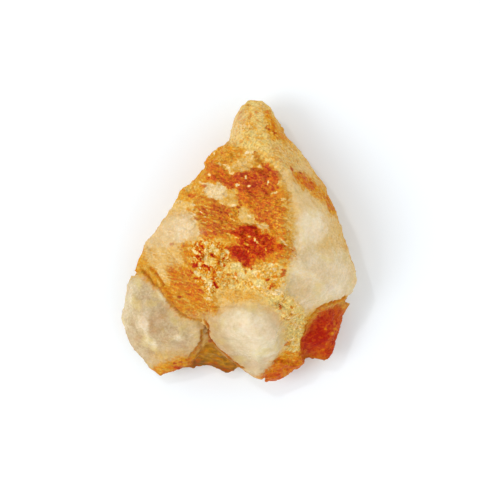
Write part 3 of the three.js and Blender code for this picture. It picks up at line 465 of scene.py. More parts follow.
         "outline": [(42.9, -23.6), (46.1, -25.1), (44.8, -30.8), (43.2, -34.4), (41.4, -32.2),
                     (42.6, -27.9)]},
        {"name": "brown foot of the red corner", "edge": 0.8, "iron": 0.72, "brown": 0.5,
         "outline": [(26.1, -38.4), (30.9, -40.7), (37.7, -40.7), (40.3, -43.6), (33.5, -43.6),
                     (27.5, -42.1)]},
        {"name": "olive edge of the left lobe", "edge": 2.2, "iron": 0.27, "brown": 0.1, "milk": 0.6,
         "yellow": 0.3,
         "outline": [(-22.8, -27), (-17.8, -27.6), (-13.6, -30.3), (-14.2, -35.6), (-17.5, -38.4),
                     (-21.3, -39.1), (-20.4, -35.5), (-19.5, -31.2)]},
        # Painted shade: the middle lobe's left edge is made tan and brown where it turns away from the light.
        {"name": "left edge of the middle lobe with painted shade", "edge": 1.8, "iron": 0.48, "brown": 0.2, "milk": 0.75,
         "outline": [(-12.3, -29.5), (-10.2, -26.6), (-8.1, -29.4), (-6.9, -33.7), (-2.8, -38.8),
                     (2.2, -42.5), (1.4, -44.8), (-4.5, -41.1), (-10.4, -36.3), (-12.9, -32.7)]},
    ],
    # Small marks over the zones, each as its place, half length and half width in mm, and turn in degrees.
    # Their borders fade over softness times their size.
    "softness": 0.3,
    "marks": [
        {"name": "pale flakes on the shoulder", "iron": 0.07, "brown": 0,
         "places": [(-9.9, 30.7, 0.32, 0.16, -60), (-7.8, 27.4, 0.51, 0.16, -60),
                    (-4.9, 26.3, 0.56, 0.21, -40), (-3.6, 24.5, 0.32, 0.19, 80),
                    (5.5, 31.1, 0.48, 0.22, 0), (5.9, 29.3, 0.4, 0.21, 60), (3.4, 31.1, 0.32, 0.16, 20),
                    (-14.5, 20.4, 0.56, 0.14, -10), (-12, 23.2, 0.32, 0.24, 0),
                    (-2.4, 23.8, 0.32, 0.16, 10)]},
        {"name": "pale flakes in the belt", "iron": 0.1, "brown": 0,
         "places": [(8.8, 26.2, 0.25, 0.22, 0), (-0.3, 19.6, 0.41, 0.21, 15), (1.4, 22, 0.21, 0.16, 0),
                    (3, 22, 0.32, 0.14, 80), (4.2, 19.2, 0.35, 0.13, 20), (12.1, 20.5, 0.38, 0.14, 80),
                    (14.9, 16.7, 0.63, 0.16, 8), (18.2, 14.6, 0.48, 0.14, -10),
                    (16.6, 20.2, 0.32, 0.16, 70), (-6.5, 18.2, 0.63, 0.32, -20)]},
        {"name": "pale flakes in the streaks", "iron": 0.1, "brown": 0,
         "places": [(-18.7, 9.2, 0.41, 0.17, 20), (-19.1, 12.7, 0.41, 0.19, 10),
                    (-14.9, 9.9, 0.51, 0.13, -30), (-18.2, 7.1, 0.51, 0.16, -35),
                    (-13.6, 8.5, 0.25, 0.14, -20), (-2.4, 7.7, 0.44, 0.14, -40),
                    (4.6, 8.7, 0.35, 0.19, -50), (6.3, 7.7, 0.25, 0.22, 60), (-6.9, 13.3, 0.48, 0.16, -30),
                    (-2.8, 12.6, 0.79, 0.16, -8)]},
        # Painted glints: pale slivers along the cleavage where flakes in the red heart catch the light.
        {"name": "painted glints of cream slivers in the red heart", "iron": 0.3, "brown": 0,
         "places": [(-3.6, 2.5, 0.67, 0.14, -15), (-1.1, 1.5, 0.51, 0.13, -30),
                    (-0.7, -0.6, 0.41, 0.14, -50), (4.2, 1.8, 0.25, 0.11, -30),
                    (9.6, 3.2, 0.32, 0.13, -60), (11.2, -2.7, 0.24, 0.13, 80), (3.4, -3.4, 0.16, 0.13, 0),
                    (3, -0.6, 0.32, 0.13, -20)]},
        {"name": "painted glints of bright slivers", "iron": 0.1, "brown": 0,
         "places": [(7.1, 0.4, 0.51, 0.14, -50), (18.9, -0.6, 0.86, 0.14, -45),
                    (17.3, 0.8, 0.29, 0.14, -30), (26.4, -0.6, 0.38, 0.14, 0),
                    (21.4, -2.3, 0.32, 0.13, -45)]},
        {"name": "cream crumbs", "iron": 0.12, "rust": 0, "yellow": 0.5,
         "places": [(-19, -0.6, 0.32, 0.29, 20), (-13.2, -0.6, 0.37, 0.29, 60),
                    (-18.2, -3.8, 0.62, 0.19, -45), (-13.6, -5.8, 0.4, 0.24, 45),
                    (-13.1, -7.6, 0.46, 0.24, 0), (-16.5, -7.9, 0.32, 0.19, 0),
                    (-17.3, -11.1, 0.56, 0.24, -50), (-14.4, -12.8, 0.4, 0.24, -30),
                    (-11.5, -14.2, 0.4, 0.24, 10), (-12.3, -17, 0.46, 0.19, -70),
                    (-13.1, -19.8, 0.46, 0.24, 0), (-11.5, -20.5, 0.32, 0.19, 0),
                    (-6.9, -5.1, 0.4, 0.24, 70), (-5.3, -3.7, 0.4, 0.17, -45), (-9, -3.1, 0.32, 0.24, 0),
                    (-10.6, -1.7, 0.32, 0.24, 80), (-14.8, 0.4, 0.32, 0.19, -30),
                    (-8.6, -10.7, 0.37, 0.24, 0)]},
        {"name": "light pale crumbs", "iron": 0.12, "rust": 0.1,
         "places": [(-1.1, -8.6, 0.79, 0.57, 0), (1.4, -11.7, 0.63, 0.48, 0), (7.9, -14.4, 0.79, 0.57, 0),
                    (6.7, -10.6, 0.63, 0.38, 0), (-2.8, -15.6, 0.63, 0.32, 0),
                    (16.5, -17.5, 0.79, 0.54, 0), (18.2, -22.1, 0.38, 0.25, 0), (23, -25.8, 0.32, 0.22, 0),
                    (22.3, -36.1, 0.38, 0.22, -30), (23.1, -38.3, 0.22, 0.16, 0),
                    (12.8, -8.2, 0.48, 0.32, 0)]},
        {"name": "rust between the crumbs", "iron": 0.8,
         "places": [(-15.2, -2, 0.41, 0.19, -50), (-16.1, -3.8, 0.32, 0.16, -40),
                    (-16.5, -5.9, 0.89, 0.24, -42), (-18.2, -8.3, 0.57, 0.32, 10),
                    (-14.4, -8.6, 0.41, 0.24, 0), (-12.7, -9.3, 0.57, 0.21, -55),
                    (-19.8, -10.7, 0.48, 0.19, -50), (-18.1, -12.8, 0.73, 0.16, 15),
                    (-11.1, -13.1, 0.25, 0.16, 0), (-9.8, -14.9, 0.67, 0.25, -50),
                    (-10.6, -5.1, 0.57, 0.24, -40), (-6.1, -8.2, 0.32, 0.17, 90),
                    (-5.3, -2, 0.41, 0.16, 20), (-17.3, -2, 0.25, 0.16, 0), (4.6, -8.9, 0.48, 0.16, 90),
                    (2.2, -8.9, 0.35, 0.14, -60), (13.2, -15.8, 0.41, 0.14, 80),
                    (17.7, -9.9, 0.35, 0.14, -10), (12, -13.4, 0.35, 0.14, 10)]},
        {"name": "orange in the pale crumbs", "iron": 0.6, "brown": 0.15,
         "places": [(15.7, -12.3, 0.86, 0.32, 5), (18.5, -10.9, 0.57, 0.38, 60),
                    (14.1, -15.1, 0.32, 0.32, 0), (-8.6, -7.2, 0.48, 0.32, 90),
                    (-6.1, -6.2, 0.25, 0.24, 0), (19.3, -35.7, 0.48, 0.38, 30),
                    (18.7, -26.4, 0.32, 0.16, 0), (16.6, -22.7, 0.48, 0.19, 80),
                    (19.1, -23.5, 0.29, 0.16, 0), (21.5, -22.1, 0.22, 0.19, 0)]},
        {"name": "grey brown dots in the pale crumbs", "iron": 0.5, "brown": 0.5,
         "places": [(-2.4, -13.1, 0.25, 0.16, 0), (-0.7, -13.8, 0.25, 0.16, 0), (3, -14.5, 0.25, 0.19, 80),
                    (0.9, -15.5, 0.22, 0.13, 0), (-4.4, -11.7, 0.32, 0.13, -30),
                    (2.6, -10.6, 0.29, 0.13, 60), (20.3, -24.2, 0.25, 0.14, -30)]},
        {"name": "dark pits", "iron": 0.9, "brown": 0.6,
         "places": [(-0.3, 11.7, 0.24, 0.17, 0), (0.1, 10.3, 0.21, 0.14, 80), (1.4, 12.6, 0.27, 0.14, 30),
                    (-7.8, 8.1, 0.27, 0.17, 0), (-24.5, -19.4, 0.29, 0.17, 0),
                    (-12.3, -35.7, 0.29, 0.24, 0), (6.9, 31.1, 0.14, 0.13, 0),
                    (14.7, 38.3, 0.38, 0.16, -50), (12.2, 39.3, 0.35, 0.16, -20),
                    (25.5, 23.8, 0.27, 0.16, -30), (39, 11.7, 0.41, 0.19, -60),
                    (22.1, 25.2, 0.38, 0.16, -50), (-26.9, -42.8, 0.21, 0.16, 0),
                    (-24.3, -42.5, 0.21, 0.16, 0)]},
        {"name": "crimson", "iron": 0.98,
         "places": [(6.3, 22.3, 0.51, 0.21, 10), (2.2, 23.6, 0.57, 0.19, 5), (6.3, 19.5, 0.41, 0.32, 80),
                    (4.2, 4.9, 1.11, 0.22, -4), (5.9, -0.3, 0.54, 0.41, -30), (-1.1, -2, 0.79, 0.32, -15),
                    (10, 1.8, 0.7, 0.32, -20), (-25.7, -44.7, 0.79, 0.22, 4)]},
        {"name": "golden spots", "iron": 0.44, "brown": 0.08,
         "places": [(-7, 30.2, 0.51, 0.38, 0), (-14.5, 22.9, 0.51, 0.32, 0), (1.8, 41.9, 0.57, 0.25, 80),
                    (4.7, 43.6, 0.79, 0.25, 80), (3, 36.8, 0.38, 0.32, 0), (9.7, 36, 0.48, 0.22, 0),
                    (22.1, 26.6, 0.48, 0.25, 20), (-20.3, 11.3, 0.48, 0.19, 0)]},
        {"name": "orange spots", "iron": 0.66,
         "places": [(-14.5, 19.4, 0.63, 0.25, 5), (-19.1, 16.2, 0.7, 0.32, 10), (-27.8, -1, 0.32, 0.25, 0),
                    (8.4, 13.6, 0.63, 0.32, 20), (17.7, 9.7, 0.41, 0.16, -30)]},
        {"name": "red brown end of the right streak", "iron": 0.57, "brown": 0.25, "soft": 0.6, "milk": 0,
         "places": [(37.8, 13.4, 1.59, 0.48, -62)]},
        {"name": "olive spots of the tip", "iron": 0.44, "brown": 0.4, "soft": 0.8,
         "places": [(1.8, 42.2, 0.48, 0.29, 70), (4.3, 43.3, 0.41, 0.25, 0), (0.9, 45.5, 0.38, 0.22, 40),
                    (5.5, 39.6, 0.63, 0.16, 0), (8, 41.8, 0.32, 0.22, 0), (3.5, 48.1, 0.38, 0.22, 0),
                    (7.2, 45.4, 0.35, 0.22, 30)]},
        {"name": "specks of orange in the red corner", "iron": 0.5,
         "places": [(40.1, -32.8, 0.32, 0.24, 0), (41.4, -31.1, 0.24, 0.16, 0),
                    (40.9, -29.3, 0.19, 0.16, 0), (36.6, -31.3, 0.29, 0.16, 0),
                    (37.5, -37.1, 0.25, 0.16, 0), (35.9, -39.3, 0.25, 0.16, 0)]},
        # Painted highlights: spots of pale quartz where light glints on the left lobe, and one on the right
        # lobe.
        {"name": "painted highlights of the lobes", "iron": 0.12, "milk": 1, "brown": 0, "soft": 1,
         "places": [(-38.8, -29.9, 2.54, 0.54, 88), (-40.9, -28.5, 0.95, 0.63, 80),
                    (-35.6, -37, 0.95, 0.32, 85), (-32.1, -19.6, 1.11, 0.38, -58),
                    (-25.4, -34, 0.63, 0.38, 0), (39.6, -16.7, 1.27, 0.63, -10)]},
        {"name": "stains of the left lobe", "iron": 0.5, "milk": 0.8, "brown": 0.2, "soft": 1,
         "places": [(-41.9, -34.2, 0.79, 0.54, 0), (-35, -31.6, 0.95, 0.54, 20),
                    (-30.8, -35.1, 0.79, 0.54, 0), (-31.7, -26, 0.79, 0.54, 0),
                    (-37.4, -39.3, 0.79, 0.48, 0), (-36.7, -29.2, 1.11, 0.32, 80)]},
    ],
    # Cracks and seams along a line of places. In half widths: where the colour starts to fade and
    # ends, and where the depth ends.
    "crackBorder": (0.4, 1.5, 1.4),
    "cracks": [
        {"name": "open crack above the left lobe", "halfWidth": 0.23, "depth": 0.4,
         "brown": 0.85, "iron": 0.55, "milk": 0,
         "line": [(-40.2, -10.5), (-38.1, -12.3), (-36.8, -13.7), (-36, -15.1), (-34.3, -15.4)]},
        {"name": "brown seam along the rim", "halfWidth": 0.21, "depth": 0.22,
         "brown": 0.45, "iron": 0.6, "milk": 0,
         "line": [(-37.3, -9.1), (-34.7, -11.2), (-32.6, -13.7), (-30.9, -16.1), (-29.1, -18.6),
                  (-27.9, -20.7)]},
        {"name": "seam under the rim", "halfWidth": 0.21, "depth": 0.3,
         "brown": 0.55, "iron": 0.5, "milk": 0.1,
         "line": [(-34.3, -15.4), (-32.1, -18.2), (-30, -21), (-27.1, -23.1), (-24.5, -25.2),
                  (-20.3, -26.9), (-15.7, -27.9)]},
        {"name": "edge of the recess", "halfWidth": 0.23, "depth": 0.4,
         "brown": 0.8, "iron": 0.7, "milk": 0,
         "line": [(-14, -27.9), (-12.7, -30.2), (-12.5, -33.4), (-10.4, -36.3), (-7.4, -38.2),
                  (-4.5, -40.3), (-1.1, -42.9), (1.8, -44.4)]},
        {"name": "left edge of the recess", "halfWidth": 0.23, "depth": 0.25,
         "brown": 0.5, "iron": 0.55, "milk": 0.1,
         "line": [(-15.3, -31.2), (-15.4, -35.2), (-18, -38.1), (-20.9, -41.4)]},
        {"name": "edge above the red corner", "halfWidth": 0.19, "depth": 0.25,
         "brown": 0.4, "iron": 0.55, "milk": 0,
         "line": [(44.9, -19.7), (39.8, -21.3), (34.6, -22.7), (30.6, -25.9), (27.7, -29.4), (26.5, -33.4),
                  (25.7, -37.3)]},
        # A painted shadow: a thin brown line along the lower edge of the pale pink patch, over a shallow
        # groove.
        {"name": "painted shadow line under the pink patch", "halfWidth": 0.17, "depth": 0.12,
         "brown": 0.4, "iron": 0.62,
         "line": [(-16.1, 15.8), (-12.8, 14.8), (-9.4, 14)]},
        {"name": "brown line over the pale patch", "halfWidth": 0.17, "depth": 0.12,
         "brown": 0.35, "iron": 0.75,
         "line": [(7.1, 7.7), (9.6, 7), (12, 6.3), (13.6, 4.9)]},
    ],
    # Broad forms that rise, or sink where lift is negative.
    "forms": [
        {"name": "sunken crumbs", "edge": 2.5, "lift": -0.1,
         "outline": [(-22.5, 0), (-5.5, 1), (12, -8), (26.5, -16), (24.5, -22), (10, -20.5), (-6, -20.5),
                     (-18, -22.5), (-23, -15)]},
        {"name": "sunken red heart", "edge": 1.2, "lift": -0.35,
         "outline": [(-6, 1.5), (-0.5, 5), (7.5, 5.5), (13, 2.5), (16.5, -3.5), (12.5, -8), (4.5, -10),
                     (-1, -8.5), (-5, -6), (-7.5, -2.5)]},
        {"name": "raised yellow strip", "edge": 2.0, "lift": 0.65,
         "outline": [(15.3, -18.9), (21.9, -19.7), (27.1, -23.3), (27.3, -31.2), (25.7, -36.9),
                     (21.4, -39), (18.9, -36.4), (19.2, -29.3), (17, -24.5)]},
        {"name": "raised middle lobe", "edge": 2.5, "lift": 0.3,
         "outline": [(-6, -28), (4.5, -26), (16, -28), (19, -31), (18, -38), (12, -44), (8, -49), (2, -46),
                     (-6, -39), (-11.5, -33.5)]},
        {"name": "sunken recess", "edge": 0.6, "lift": -0.5,
         "outline": [(-14.5, -31), (-12.5, -33.5), (-7, -40), (2, -45.5), (-2, -50.5), (-10, -49),
                     (-18.5, -45.5), (-19, -43.5), (-14.5, -36)]},
        {"name": "step under the shoulder", "edge": 0.8, "lift": -0.52,
         "outline": [(-12.8, 26.4), (-14, 24.4), (-17, 22.4), (-20, 20.2), (-25, 19.2), (-30, 25),
                     (-24, 28.4), (-16, 27.4)]},
        {"name": "sunken red corner", "edge": 0.5, "lift": -0.45,
         "outline": [(45.5, -21), (49, -24), (47, -28.5), (45, -35), (41, -43), (37, -46), (29, -44.5),
                     (26, -40), (26.5, -33.5), (29, -30), (32.5, -26), (37.5, -23.5)]},
    ],
    # Colours of the feldspar by how much iron is in it, and of the quartz and what lies on it.
    "ironColours": [
        (0.0, srgb(226, 206, 166)),
        (0.1, srgb(219, 189, 136)),
        (0.2, srgb(211, 174, 108)),
        (0.3, srgb(207, 162, 77)),
        (0.42, srgb(202, 142, 16)),
        (0.52, srgb(198, 125, 3)),
        (0.62, srgb(194, 106, 5)),
        (0.7, srgb(190, 91, 5)),
        (0.79, srgb(184, 75, 5)),
        (0.88, srgb(176, 57, 5)),
        (0.95, srgb(167, 41, 5)),
        (1.0, srgb(157, 25, 5)),
    ],
    "milkColours": [
        (0.0, srgb(222, 210, 186)),
        (0.15, srgb(213, 197, 165)),
        (0.3, srgb(198, 180, 146)),
        (0.45, srgb(183, 164, 130)),
        (0.6, srgb(166, 145, 108)),
    ],
    # Brown of stains, also used as painted shade in the recess, on the left lobe's hem, down the middle
    # lobe's left side and under the pink patch.
    "stainAndShadeColour": srgb(118, 80, 22),
    "rosyColour": srgb(208, 172, 144),
    "yellowColour": srgb(208, 188, 110),
    # Where the surface is made twice as fine, because small flakes and crumbs lie there.
    "fineOutline": [(-14.6, 31.5), (-7, 35.6), (0.5, 36.9), (9.6, 33.2), (15.4, 31.8), (21.2, 25.5),
                    (25.6, 26.4), (33.2, 20.8), (32.2, 16.5), (24.4, 15.7), (25.1, 7.3), (27.6, -1.3),
                    (24.3, -8.5), (27.8, -20.4), (28.2, -36.7), (24, -39.8), (18.1, -38.2), (18.8, -27.5),
                    (9.6, -20.3), (-6.1, -21.8), (-13.6, -26.8), (-26.2, -21.4), (-33, -12.3),
                    (-26.2, -6.6), (-24.5, 1.8), (-20.3, 10.2), (-24.6, 14.5), (-22.9, 20.8), (-17, 25)],
    "fineAbove": 6,
    # Where the crumbs wear the big grains and pits down.
    "wornOutline": [(-23.6, 1.8), (-14.4, 3.2), (-4.4, 1.8), (-1.1, -5.1), (9.5, -3.7), (21, -5.8),
                    (23.6, -16.9), (18.7, -23.9), (9.6, -20.3), (-6.9, -19), (-13.6, -23.3),
                    (-22.8, -17.1), (-23.6, -7.3)],
    "wornPasses": 12,
    # Patterns of the material, in repeats for each metre along, across and up. One with a lean is turned
    # along the cleavage streaks and by so many degrees more.
    "clouds": {
        "streaks": {"repeats": (420, 2100, 1100), "lean": 0, "detail": 3, "roughness": 0.6,
                    "distortion": 0.4},
        "hairs": {"repeats": (900, 4600, 2600), "lean": -5, "detail": 2, "roughness": 0.6},
        "patches": {"repeats": (560, 760, 660), "lean": 0, "detail": 4, "roughness": 0.6},
        "flakes": {"repeats": (900, 2300, 1500), "lean": 12, "shift": (3, 1, 4), "detail": 3,
                   "roughness": 0.6, "distortion": 0.8},
        # The stains pattern breaks up the brown, both of real stains and of painted shade.
        "stains": {"repeats": (900, 1500, 1100), "lean": 0, "detail": 3, "roughness": 0.6},
        "mottle": {"repeats": (520, 520, 520), "detail": 5, "roughness": 0.7},
        "blotches": {"repeats": (340, 340, 340), "detail": 3, "roughness": 0.6},
        "powder": {"repeats": (3300, 3300, 3300), "detail": 2, "roughness": 0.7},
        "pores": {"repeats": (2600, 2600, 2600), "detail": 3, "roughness": 0.65},
    },
    "cells": {
        "grains": {"repeats": (2900, 2900, 2900), "lean": 0},
        "layers": {"repeats": (1500, 4200, 3000), "lean": 0},
        "facets": {"repeats": (3900, 3900, 3900), "shift": (7, 3, 1)},
    },
    # How far each pattern changes the iron.
    "ironReach": {"streaks": 0.7, "hairs": 0.7, "patches": 0.35, "specks": 0.1, "grains": 0.44,
                  "bigGrains": -0.4, "gaps": 0.55},
    "evenYellow": 0.35,                               # how much less the yellow parts vary in iron
    "leastLayers": 0.1,                               # thin layers show this much everywhere
    "flakes": {"from": (0.6, 0.66), "iron": 0.12},
    "lemon": {"patches": (0.38, 0.56), "iron": (0.6, 0.3)},
    "quartz": {"mottle": 0.8, "facets": 0.45, "border": 2.4},
    "rosy": {"from": (0.52, 0.66), "share": 0.2},
    "creamy": {"from": (0.48, 0.34), "share": 0.35},
    "stainAndShadeFrom": (0.05, 0.95),
    "leastSpeck": 0.2,                                # small grains differ by this much everywhere
    "shade": {"powder": 0.6, "facets": 0.25, "yellow": 0.5},
    # Gloss: 0 is a mirror and 1 is dull.
    "dull": {"plain": 0.4, "grain": 0.15, "milk": -0.1, "flakes": -0.2, "facets": 0.35},
    "refraction": 1.54,
    "shine": 0.05,
    "bump": {"pores": 0.8, "calmMilk": 0.75, "grains": 0.5, "strength": 0.4, "depth": 0.12 * mm},
    # How far red, green and blue light scatters, and how much in the feldspar and in the quartz.
    "scatter": {"radius": (1.0, 0.55, 0.3), "scale": 0.8 * mm, "plain": 0.03, "milk": 0.5},
}


def smoothStep(low, high, value):
    t = np.clip((value - low) / (high - low), 0, 1)
    return t * t * (3 - 2 * t)


# Noise at each point: span is how far apart its hills are.
def noiseAt(points, span, shift=0.0):
    places = points / np.asarray(span, float) + shift
    return np.array([noise.noise(place) for place in places.tolist()])


def noiseVectors(points, span, shift=0.0):
    places = points / np.asarray(span, float) + shift
    return np.array([noise.noise_vector(place)[:] for place in places.tolist()])


def swell(points, form):
    return noiseAt(points, form["span"], form.get("shift", 0.0))


def toMm(place):
    across, along = place
    return (stoneMiddle.x + across / 100 * stoneSize.x, stoneMiddle.y + along / 100 * stoneSize.y)


def lineDistance(x, y, start, end):
    dx, dy = end[0] - start[0], end[1] - start[1]
    t = np.clip(((x - start[0]) * dx + (y - start[1]) * dy) / (dx * dx + dy * dy), 0, 1)
    return np.hypot(x - start[0] - t * dx, y - start[1] - t * dy)


# How deep each point lies inside an outline, in mm, and negative outside it.
def depthInside(x, y, outline):
    corners = [toMm(place) for place in outline]
    nearest = np.full(x.shape, np.inf)
    inside = np.zeros(x.shape, bool)
    for start, end in zip(corners, corners[1:] + corners[:1]):
        nearest = np.minimum(nearest, lineDistance(x, y, start, end))
        if start[1] != end[1]:
            level = (start[1] > y) != (end[1] > y)
            crossing = (end[0] - start[0]) * (y - start[1]) / (end[1] - start[1]) + start[0]
            inside ^= level & (x < crossing)
    return np.where(inside, nearest, -nearest)


# How much of a shape with a soft border covers each point.
def covered(x, y, shape):
    return smoothStep(-shape["edge"] / 2, shape["edge"] / 2, depthInside(x, y, shape["outline"]))


def turnedBy(points, degrees):
    turn = math.radians(degrees)
    x = points[:, 0] * math.cos(turn) - points[:, 1] * math.sin(turn)
    y = points[:, 1] * math.cos(turn) + points[:, 0] * math.sin(turn)
    return np.stack([x, y, points[:, 2]], axis=1)


# The same places, counted along the cleavage streaks, across them and up.
def alongStreaks(points):
    return turnedBy(points, -roughStone["streakSlope"])


# Splits space into ragged cells. For each point it gives the centre of its cell, how far the border is, three
# numbers between -1 and 1 that the whole cell shares, and the way from the centre to the point.
def cellsAt(points, kind):
    span = np.asarray(kind["span"], float)
    places = points / span + kind["ragged"] * noiseVectors(points, span * 0.7, shift=17.1)
    centres = np.empty((len(points), 3))
    border = np.empty(len(points))
    chance = np.empty((len(points), 3))
    for i, place in enumerate(places.tolist()):
        distances, nearest = noise.voronoi(place)
        centres[i] = nearest[0]
        border[i] = distances[1] - distances[0]
        chance[i] = noise.cell_vector(nearest[0] * 311.7)   # large, so that neighbours differ
    offset = places - centres
    return centres * span, border, chance, offset


def blendIn(fields, mask, values):
    for name, field in fields.items():
        if name in values:
            field += (values[name] - field) * mask


# Where each point takes its colour from: each small grain from about one place, so that the zones have ragged
# outlines, as in broken rock.
def lookedUp(points, centres, chance, how):
    looked = points + (centres - points) * how["pull"] + chance * how["scatter"]
    x, y = looked[:, 0], looked[:, 1]
    for wave in roughStone["wander"]:
        x = x + noiseAt(points, wave["span"], shift=11.3) * wave["reach"] * how["pull"]
        y = y + noiseAt(points, wave["span"], shift=47.9) * wave["reach"] * how["pull"]
    return x, y


def paintZones(x, y, fields):
    for zone in roughStone["zones"]:
        blendIn(fields, covered(x, y, zone), zone)


def paintMarks(x, y, fields, steep):
    for mark in roughStone["marks"]:
        soft = mark.get("soft", roughStone["softness"])
        for across, along, halfLength, halfWidth, turn in mark["places"]:
            middle = toMm((across, along))
            turn = math.radians(turn)
            u = (x - middle[0]) * math.cos(turn) + (y - middle[1]) * math.sin(turn)
            v = (y - middle[1]) * math.cos(turn) - (x - middle[0]) * math.sin(turn)
            near = 1 - smoothStep(1 - soft, 1 + soft, np.hypot(u / halfLength, v / halfWidth))
            blendIn(fields, near * (1 - steep), mark)


def paintCracks(x, y, fields):
    for crack in roughStone["cracks"]:
        line = [toMm(place) for place in crack["line"]]
        far = np.min([lineDistance(x, y, start, end) for start, end in zip(line, line[1:])], axis=0)
        inner, outer, lip = [crack["halfWidth"] * share for share in roughStone["crackBorder"]]
        blendIn(fields, 1 - smoothStep(inner, outer, far), crack)
        fields["lift"] -= crack["depth"] * (1 - smoothStep(0, lip, far))


def raiseForms(points, fields):
    wave = roughStone["formWander"]
    x = points[:, 0] + noiseAt(points, wave["span"], shift=5.5) * wave["reach"]
    y = points[:, 1] + noiseAt(points, wave["span"], shift=8.8) * wave["reach"]
    for form in roughStone["forms"]:
        fields["lift"] += form["lift"] * covered(x, y, form)


# The number that each point has of iron, milk and so on.
def paintFields(points, normals):
    centres, _, chance, _ = cellsAt(alongStreaks(points), roughStone["specks"])
    centres = turnedBy(centres, roughStone["streakSlope"])
    fields = {name: np.full(len(points), value) for name, value in roughStone["base"].items()}
    sides = roughStone["sides"]
    steep = smoothStep(*sides["upright"], normals[:, 2]) * smoothStep(*sides["height"], points[:, 2])
    astray = noiseVectors(points, sides["span"], sides["shift"]) * sides["reach"] * steep[:, None]
    x, y = lookedUp(points, centres, chance, roughStone["zonePull"])
    paintZones(x + astray[:, 0], y + astray[:, 1], fields)
    x, y = lookedUp(points, centres, chance, roughStone["markPull"])
    paintMarks(x, y, fields, steep)
    fields["lift"] = np.zeros(len(points))
    paintCracks(x, y, fields)
    raiseForms(points, fields)
    fields["tone"] = chance[:, 2]
    return fields


# Thin steps, as cleavage leaves them: a slow rise and a sharp drop, and fine ridges beside them.
def cleavageRelief(points):
    streaks = alongStreaks(points)
    cleavage, waves = roughStone["cleavage"], roughStone["cleavageNoise"]
    wave = streaks[:, 1]
    for bend in (waves["bend"], waves["smallBend"]):
        wave = wave + bend["reach"] * swell(streaks, bend)
    saw = (wave / cleavage["spacing"]) % 1
    steps = (saw ** 2) * smoothStep(*cleavage["shown"], swell(streaks, waves["patches"]))
    ridges = 1 - 2 * np.abs(swell(streaks, waves["ridges"]))
    return cleavage["height"] * steps + cleavage["ridgeHeight"] * ridges


# Curved breaks: each chip lies a little higher or lower and leans its own way.
def chipRelief(points):
    chips = roughStone["chips"]
    _, _, chance, offset = cellsAt(alongStreaks(points), chips)
    return chips["step"] * chance[:, 0] + chips["tilt"] * (offset * chance).sum(axis=1)


# Rounded grains with gaps between them, which the material colours with rust.
def grainRelief(points, fields):
    grains, patches = roughStone["grains"], roughStone["gapPatches"]
    _, border, chance, offset = cellsAt(points, grains)
    size = 0.5 + 0.5 * chance[:, 0]
    body = smoothStep(0.0, grains["rounding"], border)
    least = patches["least"]
    shown = least + (1 - least) * smoothStep(*patches["from"], swell(points, patches))
    fields["gap"] = (1 - smoothStep(*grains["gap"], border)) * shown
    fields["size"] = size
    leaning = grains["tilt"] * (offset * chance).sum(axis=1)
    return body * (grains["height"] + grains["uneven"] * size) + leaning - grains["sunk"]


def surfaceHeight(points, fields):
    swells = roughStone["swells"]
    height = fields["lift"] + fields["grain"] * grainRelief(points, fields)
    height = height + fields["chip"] * chipRelief(points)
    height += fields["streak"] * cleavageRelief(points)
    quiet = 1 - roughStone["quietMilk"] * fields["milk"]
    broad = swells["broad"]["reach"] * swell(points, swells["broad"])
    height += broad + swells["small"]["reach"] * quiet * swell(points, swells["small"])
    return height + swells["fine"]["reach"] * quiet * swell(points, swells["fine"])


# The resting face stays flat on the floor.
def shapeSurface(points, normals, fields):
    shaped = points + normals * surfaceHeight(points, fields)[:, None]
    lying = points[:, 2] < roughStone["lying"]["under"]
    shaped[lying] = points[lying]
    shaped[:, 2] = np.where(lying, 0, np.maximum(shaped[:, 2], roughStone["lying"]["clear"]))
    return shaped


def readVectors(collection, name):
    values = np.empty(len(collection) * 3, np.float32)
    collection.foreach_get(name, values)
    return values.reshape(-1, 3).astype(float)


# The solid from the CAD, remeshed into small even faces with worn edges.
def makeStone():
    merged = bmesh.new()
    merged.from_mesh(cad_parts["sunstone"].data)
    bmesh.ops.remove_doubles(merged, verts=merged.verts, dist=1e-6)
    mesh = bpy.data.meshes.new("roughStone")
    merged.to_mesh(mesh)
    merged.free()
    stone = bpy.data.objects.new("roughStone", mesh)
    bpy.context.scene.collection.objects.link(stone)
    remesh = stone.modifiers.new("fine surface", "REMESH")
    remesh.mode = "VOXEL"
    remesh.voxel_size = roughStone["voxel"]
    smooth = stone.modifiers.new("worn edges", "SMOOTH")
    smooth.iterations = roughStone["smoothing"]
    bpy.context.view_layer.update()
    finished = bpy.data.meshes.new_from_object(stone.evaluated_get(bpy.context.evaluated_depsgraph_get()))
    stone.modifiers.clear()
    stone.data = finished
    finished.name = "roughStone"
    return stone


def facesInside(middles, outline):
    above = middles[:, 2] > roughStone["fineAbove"]
    return np.flatnonzero(above & (depthInside(middles[:, 0], middles[:, 1], outline) > 0))


# Wears the CAD's coarse grains down and makes the middle of the stone twice as fine.
def refineStone(stone):
    fine = bmesh.new()
    fine.from_mesh(stone.data)
    fine.faces.ensure_lookup_table()
    middles = np.array([face.calc_center_median()[:] for face in fine.faces]) / mm
    worn = facesInside(middles, roughStone["wornOutline"])
    corners = list({corner for i in worn for corner in fine.faces[i].verts})
    for _ in range(roughStone["wornPasses"]):
        bmesh.ops.smooth_vert(fine, verts=corners, factor=0.5,
                              use_axis_x=True, use_axis_y=True, use_axis_z=True)
    inside = facesInside(middles, roughStone["fineOutline"])
    edges = {edge for i in inside for edge in fine.faces[i].edges}
    bmesh.ops.subdivide_edges(fine, edges=list(edges), cuts=1, use_grid_fill=True, smooth=0.5)
    fine.to_mesh(stone.data)
    fine.free()
    stone.data.calc_loop_triangles()
    print("stone remeshed,", len(stone.data.loop_triangles), "triangles")


